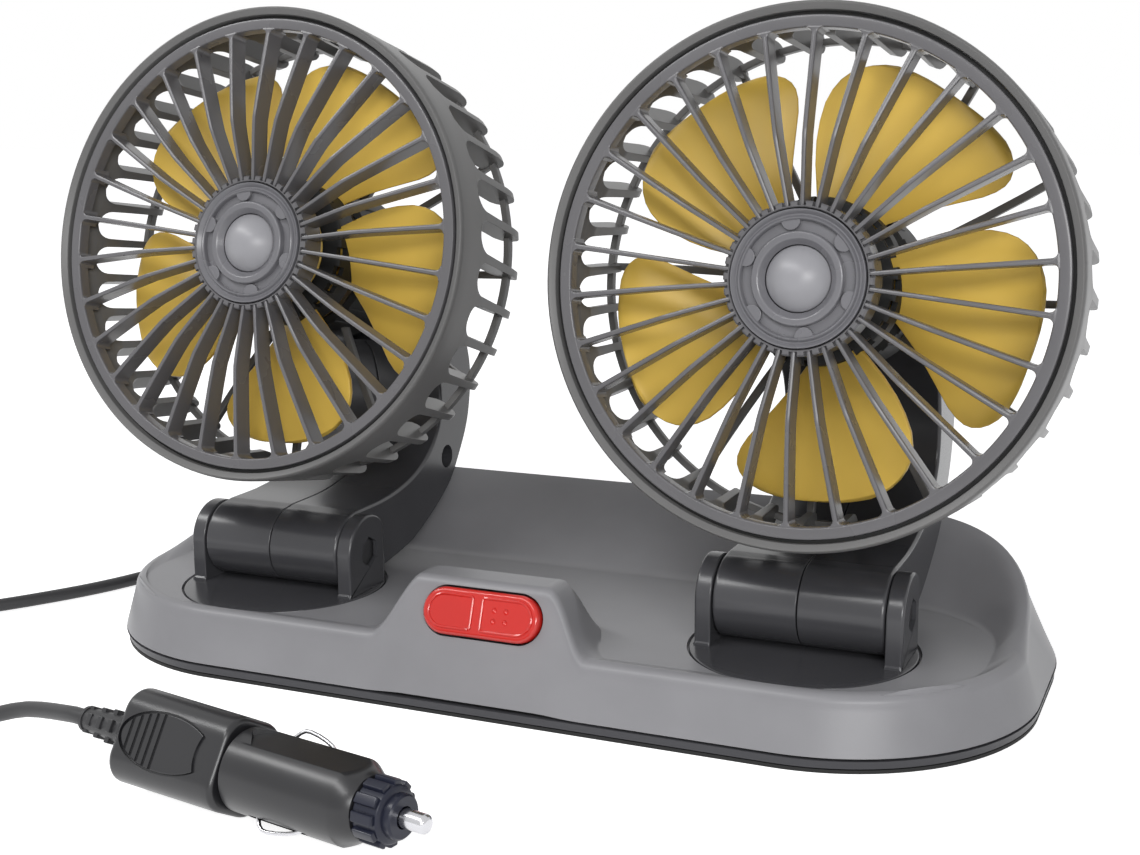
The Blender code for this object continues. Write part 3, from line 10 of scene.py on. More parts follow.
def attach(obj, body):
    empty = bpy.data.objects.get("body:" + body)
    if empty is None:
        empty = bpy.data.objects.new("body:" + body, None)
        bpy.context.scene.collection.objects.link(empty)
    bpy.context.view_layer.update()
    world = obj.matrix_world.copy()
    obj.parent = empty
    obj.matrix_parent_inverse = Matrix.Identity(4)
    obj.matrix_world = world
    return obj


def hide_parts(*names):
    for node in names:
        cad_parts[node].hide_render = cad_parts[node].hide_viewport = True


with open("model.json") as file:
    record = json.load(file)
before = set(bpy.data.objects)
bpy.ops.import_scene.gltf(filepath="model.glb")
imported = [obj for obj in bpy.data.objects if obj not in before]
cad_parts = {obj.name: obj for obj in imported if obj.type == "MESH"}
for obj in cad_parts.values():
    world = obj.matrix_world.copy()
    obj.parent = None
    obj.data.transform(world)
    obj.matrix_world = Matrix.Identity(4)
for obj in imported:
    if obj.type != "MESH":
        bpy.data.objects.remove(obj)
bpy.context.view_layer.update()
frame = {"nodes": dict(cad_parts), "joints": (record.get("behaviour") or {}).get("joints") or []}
JOINTS = {joint["name"]: joint for joint in frame["joints"]}
SIDES = ("left_", "right_")
QUARTERS = ((1, 1, 0), (-1, 1, 90), (-1, -1, 180), (1, -1, 270))
MERGE = 0.00002
bpy.ops.object.select_all(action="DESELECT")

# Camera, solved on the rims of both heads and on the base's outline
CAMERA_PLACE = Vector((0.1802, -0.4158, 0.1545))
CAMERA_YAW = math.radians(23.58)
CAMERA_PITCH = math.radians(11.47)
CAMERA_ROLL = math.radians(-0.48)
CAMERA_LENS = 51.04
CAMERA_SENSOR = 36.0


def add_camera():
    """The camera at the photograph's viewing angle."""
    cos_yaw, sin_yaw = math.cos(CAMERA_YAW), math.sin(CAMERA_YAW)
    ahead = Vector((-sin_yaw * math.cos(CAMERA_PITCH), cos_yaw * math.cos(CAMERA_PITCH),
                    -math.sin(CAMERA_PITCH)))
    level_right = Vector((cos_yaw, sin_yaw, 0.0))
    level_up = level_right.cross(ahead)
    right = math.cos(CAMERA_ROLL) * level_right + math.sin(CAMERA_ROLL) * level_up
    up = right.cross(ahead)
    turn = Matrix((right, up, -ahead)).transposed().to_4x4()
    bpy.ops.object.camera_add()
    camera = bpy.context.object
    camera.matrix_world = Matrix.Translation(CAMERA_PLACE) @ turn
    camera.data.lens = CAMERA_LENS
    camera.data.sensor_width = CAMERA_SENSOR
    camera.data.clip_start = 0.01
    bpy.context.scene.camera = camera


add_camera()


# Tools for modelling
def pick(obj):
    """Select one object alone and make it the active one."""
    bpy.ops.object.select_all(action="DESELECT")
    obj.select_set(True)
    bpy.context.view_layer.objects.active = obj


def settle(obj, matrix=None):
    """Apply an object's place to its mesh, or the given one instead."""
    pick(obj)
    if matrix is not None:
        obj.matrix_world = matrix
    bpy.ops.object.transform_apply(location=True, rotation=True, scale=True)
    return obj


def start_editing(obj):
    """Go into edit mode with the whole mesh selected."""
    pick(obj)
    bpy.ops.object.mode_set(mode="EDIT")
    bpy.ops.mesh.select_all(action="SELECT")


def clean_and_leave():
    """Merge doubles, turn all faces outwards and go back to object mode."""
    bpy.ops.mesh.select_all(action="SELECT")
    bpy.ops.mesh.remove_doubles(threshold=MERGE)
    bpy.ops.mesh.normals_make_consistent(inside=False)
    bpy.ops.mesh.select_all(action="DESELECT")
    bpy.ops.object.mode_set(mode="OBJECT")


def walk(name, rings, cap_first=False, cap_last=False, closed=False, open_row=False):
    """Extrude a circle or an open row of edges from ring to ring, each with as many places."""
    bpy.ops.mesh.primitive_circle_add(vertices=len(rings[0]), radius=1.0)
    obj = bpy.context.object
    obj.name = obj.data.name = name
    steps = obj.data.attributes.new("ring_step", "INT", "POINT")
    for index, vert in enumerate(obj.data.vertices):
        vert.co = rings[0][index]
        steps.data[index].value = index
    start_editing(obj)
    if open_row:
        bpy.ops.mesh.select_all(action="DESELECT")
        bm = bmesh.from_edit_mesh(obj.data)
        bm.verts.ensure_lookup_table()
        bm.verts[0].select = bm.verts[-1].select = True
        bm.select_flush(True)
        bmesh.update_edit_mesh(obj.data)
        bpy.ops.mesh.delete(type="EDGE")
        bpy.ops.mesh.select_all(action="SELECT")
    for ring in rings[1:] + ([rings[0]] if closed else []):
        bpy.ops.mesh.extrude_edges_move()
        bm = bmesh.from_edit_mesh(obj.data)
        layer = bm.verts.layers.int["ring_step"]
        for vert in bm.verts:
            if vert.select:
                vert.co = ring[vert[layer]]
        bmesh.update_edit_mesh(obj.data)
    if cap_last:
        bpy.ops.mesh.edge_face_add()
    if cap_first:
        bpy.ops.mesh.select_all(action="DESELECT")
        bpy.ops.mesh.select_non_manifold(extend=False, use_wire=False, use_multi_face=False,
                                         use_non_contiguous=False, use_verts=False)
        bpy.ops.mesh.edge_face_add()
    clean_and_leave()
    obj.data.attributes.remove(obj.data.attributes["ring_step"])
    return obj


def arc(radius, first, last, steps, centre=(0.0, 0.0)):
    """Points along an arc, from its first angle in degrees to its last."""
    turns = [math.radians(first + (last - first) * i / steps) for i in range(steps + 1)]
    return [(centre[0] + radius * math.cos(turn), centre[1] + radius * math.sin(turn))
            for turn in turns]


def ellipse(middle, half_u, half_v, steps):
    """A closed oval outline about a middle on the u axis."""
    turns = [2 * math.pi * i / steps for i in range(steps)]
    return [(middle + half_u * math.cos(turn), half_v * math.sin(turn)) for turn in turns]


def turned(name, profile, steps=96, closed=False):
    """A shape turned about Z through (radius, place) points; a radius of 0 closes it."""
    rings = [[(u, v, place) for u, v in ellipse(0.0, radius, radius, steps)]
             for radius, place in profile]
    return walk(name, rings, closed=closed)


def upright(u, v, along):
    return Vector((u, v, along))


def prism(name, outline, start, end, place):
    """An outline pushed from start to end; place turns (u, v, along) into a point."""
    rings = [[place(u, v, along) for u, v in outline] for along in (start, end)]
    return walk(name, rings, cap_first=True, cap_last=True)


def inset(outline, amount):
    """The closed outline drawn in along its own normals."""
    area = sum(a[0] * b[1] - b[0] * a[1] for a, b in zip(outline, outline[1:] + outline[:1]))
    way = amount if area > 0 else -amount
    result = []
    for i, (u, v) in enumerate(outline):
        before, after = outline[i - 1], outline[(i + 1) % len(outline)]
        run = Vector((after[0] - before[0], after[1] - before[1])).normalized()
        result.append((u - run.y * way, v + run.x * way))
    return result


def rounded_prism(name, outline, start, end, place=upright, first=0.0, last=0.0, steps=4):
    """An outline pushed from start to end, with a rounded edge at one end or both."""
    way = 1.0 if end > start else -1.0
    turns = [math.pi / 2 * i / steps for i in range(steps + 1)]
    levels = [(start, 0.0)] if not first else [
        (start + way * first * (1 - math.cos(turn)), first * (1 - math.sin(turn)))
        for turn in turns]
    levels += [(end, 0.0)] if not last else [
        (end - way * last * (1 - math.sin(turn)), last * (1 - math.cos(turn)))
        for turn in turns]
    rings = [[place(u, v, along) for u, v in inset(outline, drawn)] for along, drawn in levels]
    return walk(name, rings, cap_first=True, cap_last=True)


def rod(radius, start, end, steps=48):
    """A plain cylinder from start to end."""
    start, end = Vector(start), Vector(end)
    turn = (end - start).to_track_quat("Z", "Y").to_euler()
    bpy.ops.mesh.primitive_cylinder_add(vertices=steps, radius=radius,
                                        depth=(end - start).length,
                                        location=(start + end) / 2, rotation=turn)
    return settle(bpy.context.object)


def block(size, centre):
    bpy.ops.mesh.primitive_cube_add(size=1.0, location=centre, scale=size)
    return settle(bpy.context.object)


def apply_modifier(obj, kind, **settings):
    """Add a modifier, set it and apply it."""
    pick(obj)
    modifier = obj.modifiers.new("work", kind)
    for name, value in settings.items():
        setattr(modifier, name, value)
    bpy.ops.object.modifier_apply(modifier="work")
    return obj


def cut(body, tool, operation="DIFFERENCE", solver="EXACT"):
    """Cut a tool away from a body, or join or cross them, and remove the tool."""
    apply_modifier(body, "BOOLEAN", object=tool, operation=operation, solver=solver)
    bpy.data.objects.remove(tool, do_unlink=True)
    return body


def soften(obj, width, segments=3, angle=30.0):
    """Round the sharp edges."""
    return apply_modifier(obj, "BEVEL", width=width, segments=segments, limit_method="ANGLE",
                          angle_limit=math.radians(angle), harden_normals=False)


def smooth(obj, angle=40.0):
    """Shade an object smooth, but for its edges over an angle."""
    pick(obj)
    bpy.ops.object.shade_smooth_by_angle(angle=math.radians(angle))
    return apply_modifier(obj, "WEIGHTED_NORMAL", keep_sharp=True)


def joined(name, pieces):
    """Several pieces as one object."""
    bpy.ops.object.select_all(action="DESELECT")
    for piece in pieces:
        piece.select_set(True)
    bpy.context.view_layer.objects.active = pieces[0]
    if len(pieces) > 1:
        bpy.ops.object.join()
    pieces[0].name = pieces[0].data.name = name
    return pieces[0]


def spun_copies(obj, count):
    """Copy the whole mesh round the Z axis, count times in all."""
    start_editing(obj)
    bpy.ops.mesh.spin(steps=count - 1, dupli=True, angle=2 * math.pi * (count - 1) / count,
                      center=(0.0, 0.0, 0.0), axis=(0.0, 0.0, 1.0))
    clean_and_leave()
    return obj


def swung(obj, angle):
    """Turn a mesh about the Z axis through the origin."""
    start_editing(obj)
    bpy.ops.transform.rotate(value=angle, orient_axis="Z", center_override=(0.0, 0.0, 0.0))
    bpy.ops.object.mode_set(mode="OBJECT")
    return obj


def placed_copy(obj, name, matrix):
    """A copy with its own mesh, carried to its place and applied there."""
    pick(obj)
    bpy.ops.object.duplicate(linked=False)
    copy = bpy.context.object
    copy.name = copy.data.name = name
    return settle(copy, matrix)


def finish_piece(obj, body, material, slot, *nodes):
    """Give a piece its material, its body and the nodes it stands for; the slot is not used."""
    obj.data.materials.clear()
    obj.data.materials.append(material)
    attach(obj, body)
    if nodes:
        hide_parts(*nodes)
    return obj


def smooth_share(share):
    """A share from 0 to 1 that starts and ends level."""
    share = min(1.0, max(0.0, share))
    return share * share * (3 - 2 * share)


# Materials
def nodes_of(material):
    material.use_nodes = True
    tree = material.node_tree
    return tree, tree.nodes["Principled BSDF"]


def set_inputs(node, **values):
    """Set a node's inputs by name, with _ for each space."""
    for name, value in values.items():
        node.inputs[name.replace("_", " ")].default_value = value
    return node


def add_node(tree, kind, operation=None, **values):
    node = tree.nodes.new("ShaderNode" + kind)
    if operation:
        node.operation = operation
    return set_inputs(node, **values)


def connect(tree, *links):
    """Link nodes, each link given as a node, its output, the next node and its input."""
    for source, output, target, entry in links:
        tree.links.new(source.outputs[output], target.inputs[entry])


def moulded(name, colour, roughness, grain=0.05, grain_scale=1400.0, mottle=0.06, coat=0.0,
            spread=0.05, specular=0.35):
    """Moulded plastic: a fine grain, slight mottling and uneven gloss."""
    material = bpy.data.materials.new(name)
    tree, shader = nodes_of(material)
    coords = add_node(tree, "TexCoord")
    fine = add_node(tree, "TexNoise", Scale=grain_scale, Detail=3.0)
    broad = add_node(tree, "TexNoise", Scale=38.0, Detail=4.0)
    shade = add_node(tree, "ValToRGB")
    for index, position, factor in ((0, 0.32, 1 - mottle), (1, 0.70, 1 + mottle)):
        element = shade.color_ramp.elements[index]
        element.position = position
        element.color = (*[channel * factor for channel in colour], 1.0)
    gloss = add_node(tree, "MapRange", To_Min=roughness - spread, To_Max=roughness + spread)
    bump = add_node(tree, "Bump", Strength=grain, Distance=0.0002)
    connect(tree, (coords, "Object", fine, "Vector"), (coords, "Object", broad, "Vector"),
            (broad, "Fac", shade, "Fac"), (shade, "Color", shader, "Base Color"),
            (broad, "Fac", gloss, "Value"), (gloss, "Result", shader, "Roughness"),
            (fine, "Fac", bump, "Height"), (bump, "Normal", shader, "Normal"))
    set_inputs(shader, Specular_IOR_Level=specular, Coat_Weight=coat, Coat_Roughness=0.12)
    return material


def polished(name, colour, roughness):
    """Bright metal with faint drawn lines."""
    material = moulded(name, colour, roughness, grain=0.03, grain_scale=2200.0, mottle=0.04,
                       spread=0.03, specular=0.5)
    set_inputs(nodes_of(material)[1], Metallic=1.0)
    return material


BASE_GREY = moulded("satin_base_grey", (0.262, 0.260, 0.272), 0.36, grain=0.06, specular=0.30)
# The band is the base's grey darkened: painted shade under the skirt's undercut
BAND_PAINTED_SHADE = moulded("satin_band", (0.062, 0.062, 0.068), 0.40, grain=0.05, specular=0.25)
GRAPHITE = moulded("satin_graphite", (0.055, 0.055, 0.060), 0.25, grain=0.03, specular=0.45)
CAGE_GRAPHITE = moulded("cage_graphite", (0.150, 0.148, 0.146), 0.34, grain=0.04, specular=0.25)
GRILLE_GRAPHITE = moulded("grille_graphite", (0.128, 0.125, 0.131), 0.27, grain=0.02,
                          specular=0.35)
HUB_GRAPHITE = moulded("hub_graphite", (0.150, 0.148, 0.160), 0.27, grain=0.01, specular=0.60)
DOME_GREY = moulded("hub_dome", (0.290, 0.288, 0.305), 0.40, grain=0.01, specular=0.60)
MUSTARD = moulded("mustard_blade", (0.840, 0.560, 0.100), 0.36, grain=0.03, mottle=0.05)
RED_GLOSS = moulded("red_rocker", (0.620, 0.018, 0.012), 0.14, grain=0.01, coat=0.4, spread=0.03)
PLUG_BLACK = moulded("plug_black", (0.016, 0.016, 0.018), 0.30, grain=0.03, specular=0.50)
CORD_BLACK = moulded("cord_black", (0.036, 0.036, 0.038), 0.42, grain=0.08, grain_scale=900.0)
CAP_BLACK = moulded("cap_black", (0.016, 0.018, 0.032), 0.28, grain=0.04, specular=0.30)
PAD_BLACK = moulded("pad_rubber", (0.014, 0.014, 0.014), 0.75, grain=0.15, grain_scale=700.0)
# Black for the real black parts, and also painted shade in the rim's groove
BLACK_AND_GAP_SHADE = moulded("inner_black", (0.012, 0.012, 0.012), 0.60, grain=0.04)
BOARD_GREEN = moulded("board_green", (0.020, 0.150, 0.050), 0.40, grain=0.05)
FUSE_GLASS = moulded("fuse_glass", (0.750, 0.800, 0.800), 0.10, grain=0.01, spread=0.03)
DARK_STEEL = polished("dark_steel", (0.110, 0.110, 0.115), 0.38)
CHROME = polished("bright_chrome", (0.560, 0.560, 0.580), 0.20)
STEEL = polished("plain_steel", (0.520, 0.520, 0.540), 0.30)
ALUMINIUM = polished("motor_can", (0.500, 0.500, 0.510), 0.36)

# Cord from the gland to the plug, with its coil
CORD_DIAMETER = 0.0040
CORD_STEP = 0.0050
GAP = 0.0003
GLAND_X = -0.0700
GLAND_Z = 0.0090
GLAND_LENGTH = 0.0240
GLAND_INSIDE = 0.0110
GLAND_NECK_RADIUS = 0.0033
GLAND_NECK_END = 0.0115
GLAND_RIBS = 4
GLAND_RIB_PITCH = 0.0029
BASE_DEPTH = 0.1425
COIL_X = -0.1800
COIL_Y = -0.1020
COIL_MID_RADIUS = 0.0220
COIL_PITCH = 0.0045
COIL_LAYER_RISE = 0.0045
COIL_CLIMB_DRAW = 0.0012
COIL_TURNS_PER_LAYER = 2.43
COIL_LOOP_POINTS = 48
COIL_START_TURN = math.radians(135.0)
TIE_THICKNESS = 0.0006
TIE_WIDTH = 0.0040
TIE_TURN = math.radians(190.0)
RELIEF_LENGTH = 0.0200
RELIEF_RIBS = 4
RELIEF_RIB_PITCH = 0.0040
CORD_IN_PLUG = 0.0300
PLUG_PLACE = Matrix.Translation((-0.0495, -0.1346, 0.01199)) @ Matrix.Rotation(
    math.radians(-11.0), 4, "Z")
LEAD_ROUTE = [
    (-0.0700, 0.1060, 0.0085), (-0.0735, 0.1185, 0.0050), (-0.0860, 0.1265, 0.0024),
    (-0.1030, 0.1210, 0.0023), (-0.1220, 0.1010, 0.0023), (-0.1380, 0.0740, 0.0023),
    (-0.1465, 0.0420, 0.0023), (-0.1480, 0.0130, 0.0023), (-0.1560, -0.0150, 0.0023),
    (-0.1690, -0.0390, 0.0024), (-0.1848, -0.0625, 0.0028)]
END_ROUTE = [
    (-0.1650, -0.1342, 0.0068), (-0.1470, -0.1335, 0.0042), (-0.1270, -0.1285, 0.0026),
    (-0.1090, -0.1238, 0.0040), (-0.0940, -0.1238, 0.0082)]


def coil_points():
    """The coil: in along the lower layer, up in half a turn, and out along the upper one."""
    half = COIL_PITCH * COIL_TURNS_PER_LAYER / 2
    outer, inner = COIL_MID_RADIUS + half, COIL_MID_RADIUS - half
    low = CORD_DIAMETER / 2 + TIE_THICKNESS + GAP
    total = 2 * COIL_TURNS_PER_LAYER + 0.5
    count = round(total * COIL_LOOP_POINTS)
    points = []
    for i in range(count + 1):
        turns = total * i / count
        if turns < COIL_TURNS_PER_LAYER:
            radius, lift = outer - COIL_PITCH * turns, 0.0
        elif turns < COIL_TURNS_PER_LAYER + 0.5:
            climb_share = (turns - COIL_TURNS_PER_LAYER) * 2
            radius = inner - COIL_CLIMB_DRAW * math.sin(math.pi * climb_share)
            lift = smooth_share(climb_share)
        else:
            radius, lift = inner + COIL_PITCH * (turns - COIL_TURNS_PER_LAYER - 0.5), 1.0
        angle = COIL_START_TURN + 2 * math.pi * turns
        points.append(Vector((COIL_X + radius * math.cos(angle),
                              COIL_Y + radius * math.sin(angle), low + COIL_LAYER_RISE * lift)))
    return points


def smooth_route(points, step):
    """Points about a step apart along a smooth curve through the route's points."""
    route = [Vector(point) for point in points]
    ends = [2 * route[0] - route[1]] + route + [2 * route[-1] - route[-2]]
    result = []
    for a, b, c, d in zip(ends, ends[1:], ends[2:], ends[3:]):
        pieces = max(1, round((c - b).length / step))
        for i in range(pieces):
            t = i / pieces
            result.append((2 * b + (c - a) * t + (2 * a - 5 * b + 4 * c - d) * t * t
                           + (3 * b - a - 3 * c + d) * t ** 3) / 2)
    return result + [route[-1]]


def make_cord():
    """One cord: out of the gland, along the base, round the coil and into the plug."""
    exit_place = Vector((GLAND_X, BASE_DEPTH / 2 + GLAND_LENGTH + 2 * GAP, GLAND_Z))
    coil = coil_points()
    into_coil = (coil[0] - coil[1]).normalized()
    out_of_coil = (coil[-1] - coil[-2]).normalized()
    lead = [exit_place, exit_place + Vector((0.0, CORD_DIAMETER, 0.0))]
    lead += LEAD_ROUTE + [coil[0] + into_coil * 2 * CORD_DIAMETER]
    relief_end = PLUG_PLACE @ Vector((-RELIEF_LENGTH - 2 * GAP, 0.0, 0.0))
    relief_run = PLUG_PLACE @ Vector((-RELIEF_LENGTH - 2 * GAP - CORD_DIAMETER, 0.0, 0.0))
    in_plug = PLUG_PLACE @ Vector((CORD_IN_PLUG, 0.0, 0.0))
    end = [coil[-1] + out_of_coil * 2 * CORD_DIAMETER] + END_ROUTE + [relief_run, relief_end,
                                                                      in_plug]
    points = smooth_route(lead, CORD_STEP) + coil + smooth_route(end, CORD_STEP)
    curve = bpy.data.curves.new("power_cord", "CURVE")
    curve.dimensions = "3D"
    curve.bevel_depth = CORD_DIAMETER / 2
    curve.bevel_resolution = 5
    curve.use_fill_caps = True
    spline = curve.splines.new("POLY")
    spline.points.add(len(points) - 1)
    for place, point in zip(spline.points, points):
        place.co = (*point, 1.0)
    cord = bpy.data.objects.new("power_cord", curve)
    bpy.context.scene.collection.objects.link(cord)
    length = sum((b - a).length for a, b in zip(points, points[1:]))
    finish_piece(cord, "base", CORD_BLACK, "cord_black", "cord_lead", "cord_coil", "cord_end")
    return cord, exit_place, length


def make_coil_tie():
    """The flat band round the coil's turns."""
    half = COIL_PITCH * COIL_TURNS_PER_LAYER / 2 + CORD_DIAMETER / 2 + GAP + TIE_THICKNESS
    height = 2 * TIE_THICKNESS + 2 * GAP + CORD_DIAMETER + COIL_LAYER_RISE
    corner = CORD_DIAMETER / 2
    loops = []
    for radius in (corner, corner - TIE_THICKNESS * 0.8):
        outline = []
        for side_x, side_z, start in QUARTERS:
            outline += arc(radius, start, start + 90, 6,
                           (side_x * (half - corner), height / 2 + side_z * (height / 2 - corner)))
        loops.append(outline)
    rings = []
    for loop, side in ((0, -1), (0, 1), (1, 1), (1, -1)):
        rings.append([(COIL_MID_RADIUS + u, side * TIE_WIDTH / 2, v) for u, v in loops[loop]])
    tie = smooth(walk("cord_tie", rings, closed=True), 35.0)
    settle(tie, Matrix.Translation((COIL_X, COIL_Y, 0.0)) @ Matrix.Rotation(TIE_TURN, 4, "Z"))
    return finish_piece(tie, "base", PAD_BLACK, "cord_black", "coil_tie")


# Base shell
BASE_LENGTH = 0.2698
BASE_FRONT_RADIUS = 0.0540
BASE_BACK_RADIUS = 0.0580
SHELL_BOTTOM = 0.0013
BAND_INSET = 0.0006
PAD_THICKNESS = 0.0010
SKIRT_UNDERCUT = 0.0004
BAND_HEIGHT = 0.0036
FLOOR_HEIGHT = 0.0174
RIM_FRONT_HEIGHT = 0.0181
RIM_BACK_HEIGHT = 0.0360
RIM_FRONT_INSET = 0.0080
RIM_BACK_INSET = 0.0255
RIM_SIDE_INSET = 0.0070
RIM_ROUND = 0.0030
RIM_RISE_START = -0.0240
FLOOR_FRONT_INSET = 0.0115
FLOOR_SIDE_INSET = 0.0125
FLOOR_BACK_INSET = 0.0620
FLOOR_CORNER_RADIUS = 0.0300
BUMP_TOP_HEIGHT = 0.0335
BUMP_TOP_HALF_WIDTH = 0.0188
BUMP_FOOT_HALF_WIDTH = 0.0310
BUMP_RIDGE_DEPTH = 0.0070
BUMP_BACK_SLOPE = 0.70
SHELL_WALL = 0.0018
DISC_RADIUS = 0.0290
DISC_GAP = 0.0006
WELL_DEPTH = 0.0028
SWITCH_LENGTH = 0.0330
SWITCH_HEIGHT = 0.0123
SWITCH_X = 0.0010
SWITCH_Z = 0.0255
SWITCH_GAP = 0.0005
MOUTH_OUT = 0.0040
MOUTH_IN = 0.0045
CORNER_STEPS = 28
FRONT_STEPS = 120


def rounded_outline(half_length, front, back, front_radius, back_radius):
    """A rounded rectangle from the middle of its front edge, counter-clockwise."""
    points = []
    straight = half_length - front_radius
    for i in range(FRONT_STEPS // 2):
        points.append((straight * i / (FRONT_STEPS // 2), front))
    for side, edge, radius, start in ((1, front, front_radius, -90), (1, back, back_radius, 0),
                                      (-1, back, back_radius, 90),
                                      (-1, front, front_radius, 180)):
        centre_y = front + radius if edge == front else back - radius
        points += arc(radius, start, start + 90, CORNER_STEPS,
                      (side * (half_length - radius), centre_y))
    for i in range(FRONT_STEPS // 2 - 1):
        points.append((-straight * (1 - (i + 1) / (FRONT_STEPS // 2)), front))
    return points


def skirt_slope():
    """How far the front skirt leans back for each unit of height."""
    return (RIM_FRONT_INSET - RIM_ROUND - BAND_INSET) / (RIM_FRONT_HEIGHT - RIM_ROUND
                                                         - BAND_HEIGHT)


def skirt_y(height):
    return skirt_slope() * (height - BAND_HEIGHT) + BAND_INSET - BASE_DEPTH / 2


def bump_rise(x):
    """How far the rim stands up at x: a level top, flared sides and soft feet."""
    flare = BUMP_FOOT_HALF_WIDTH - BUMP_TOP_HALF_WIDTH
    share = (BUMP_FOOT_HALF_WIDTH - abs(x)) / (flare * 1.05)
    return (BUMP_TOP_HEIGHT - RIM_FRONT_HEIGHT) * smooth_share(share)


def rim_height(x, y):
    """The rim's height: low in front, high behind."""
    back = BASE_DEPTH / 2 - RIM_BACK_INSET
    share = smooth_share((y - RIM_RISE_START) / (back - RIM_RISE_START))
    return RIM_FRONT_HEIGHT + share * (RIM_BACK_HEIGHT - RIM_FRONT_HEIGHT)


def shell_profiles():
    """For each place round the base, the section of the shell from its foot to the floor."""
    foot = rounded_outline(BASE_LENGTH / 2 - BAND_INSET - SKIRT_UNDERCUT,
                           BAND_INSET + SKIRT_UNDERCUT - BASE_DEPTH / 2,
                           BASE_DEPTH / 2 - BAND_INSET - SKIRT_UNDERCUT,
                           BASE_FRONT_RADIUS, BASE_BACK_RADIUS)
    band = rounded_outline(BASE_LENGTH / 2 - BAND_INSET, BAND_INSET - BASE_DEPTH / 2,
                           BASE_DEPTH / 2 - BAND_INSET, BASE_FRONT_RADIUS, BASE_BACK_RADIUS)
    crest = rounded_outline(BASE_LENGTH / 2 - RIM_SIDE_INSET, RIM_FRONT_INSET - BASE_DEPTH / 2,
                            BASE_DEPTH / 2 - RIM_BACK_INSET,
                            BASE_FRONT_RADIUS - RIM_FRONT_INSET,
                            BASE_BACK_RADIUS - RIM_SIDE_INSET)
    floor = rounded_outline(BASE_LENGTH / 2 - FLOOR_SIDE_INSET,
                            FLOOR_FRONT_INSET - BASE_DEPTH / 2,
                            BASE_DEPTH / 2 - FLOOR_BACK_INSET, FLOOR_CORNER_RADIUS,
                            FLOOR_CORNER_RADIUS)
    return foot, band, crest, floor


def section(foot, band, crest, floor):
    """Points up one section: undercut band, skirt, round rim, sweep and floor edge."""
    height = rim_height(*crest)
    rise = bump_rise(crest[0]) if crest[1] < RIM_RISE_START else 0.0
    foot, band = Vector((*foot, SHELL_BOTTOM)), Vector((*band, BAND_HEIGHT))
    peak = Vector((*crest, height))
    flat_out = Vector((band.x - peak.x, band.y - peak.y, 0.0))
    out = flat_out.normalized() if flat_out.length > MERGE else Vector((0.0, -1.0, 0.0))
    edge = peak + out * RIM_ROUND - Vector((0.0, 0.0, RIM_ROUND))
    lift = Vector((0.0, skirt_slope() * rise, rise))
    edge, peak = edge + lift, peak + lift
    points = [foot, foot.lerp(band, 0.55), band - Vector((0.0, 0.0, 0.0003))]
    points.append(band + (edge - band) * 0.03)
    points += [band.lerp(edge, share) for share in (0.12, 0.35, 0.65, 0.90)]
    for step in range(7):
        turn = math.radians(90 * step / 6)
        points.append(peak + out * RIM_ROUND * math.cos(turn)
                      - Vector((0.0, 0.0, RIM_ROUND * (1 - math.sin(turn)))))
    low = Vector((*floor, FLOOR_HEIGHT))
    ridge = BUMP_RIDGE_DEPTH * smooth_share(rise / (BUMP_TOP_HEIGHT - RIM_FRONT_HEIGHT))
    back = peak + Vector((0.0, ridge, 0.0))
    low = low + Vector((0.0, ridge + rise * (BUMP_BACK_SLOPE + skirt_slope()), 0.0))
    points.append(back)
    drop = back.z - low.z
    for share in (0.12, 0.26, 0.42, 0.58, 0.74, 0.88):
        down = smooth_share(share) * 0.35 + share * 0.65
        points.append(Vector((back.x + share * (low.x - back.x),
                              back.y + share * (low.y - back.y), back.z - drop * down)))
    points.append(low)
    return points


def face_frame():
    """The bump's face at the switch: X along it, Y into it, Z up it."""
    lean = math.atan(skirt_slope())
    return (Matrix.Translation((SWITCH_X, skirt_y(SWITCH_Z), SWITCH_Z))
            @ Matrix.Rotation(-lean, 4, "X"))


def stadium(length, height, steps=24):
    """A long round-ended outline about its centre."""
    half_turn = arc(height / 2, -90, 90, steps, ((length - height) / 2, 0.0))
    return half_turn + [(-u, -v) for u, v in half_turn]


def make_base():
    """The moulded shell and its band, darkened as painted shade under the undercut, with wells for
    the turntables and a mouth.
    """
    sections = [section(*places) for places in zip(*shell_profiles())]
    rings = [[profile[level] for profile in sections] for level in range(3, len(sections[0]))]
    shell = walk("base_shell_skin", rings, cap_last=True)
    for name in SIDES:
        x, y, _ = JOINTS[name + "table_swivel"]["pos_m"]
        cut(shell, rod(DISC_RADIUS + DISC_GAP, (x, y, FLOOR_HEIGHT - WELL_DEPTH),
                       (x, y, FLOOR_HEIGHT + WELL_DEPTH), 128))
    apply_modifier(shell, "SOLIDIFY", thickness=SHELL_WALL, offset=-1.0)
    mouth = prism("mouth", stadium(SWITCH_LENGTH + 2 * SWITCH_GAP, SWITCH_HEIGHT + 2 * SWITCH_GAP),
                  -MOUTH_OUT, MOUTH_IN, lambda u, v, along: face_frame() @ Vector((u, along, v)))
    cut(shell, mouth)
    finish_piece(smooth(shell), "base", BASE_GREY, "base_grey", "base_shell")
    rings = [[profile[level] for profile in sections] for level in range(3)]
    for level in (2, 0):
        rings.append([])
        for profile in sections:
            inward = Vector((profile[-1].x, profile[-1].y, 0.0)) - Vector(
                (profile[0].x, profile[0].y, 0.0))
            rings[-1].append(profile[level] + inward.normalized() * SHELL_WALL)
    band = walk("base_band", rings, closed=True)
    # The band's dark colour is painted shade under the undercut
    finish_piece(smooth(band), "base", BAND_PAINTED_SHADE, "base_grey", "base_shell")
    sole = rounded_prism("base_sole", [(profile[0].x, profile[0].y) for profile in sections],
                         0.0, PAD_THICKNESS, first=0.0003)
    finish_piece(smooth(sole), "base", PAD_BLACK, "pad_rubber", "base_pad")


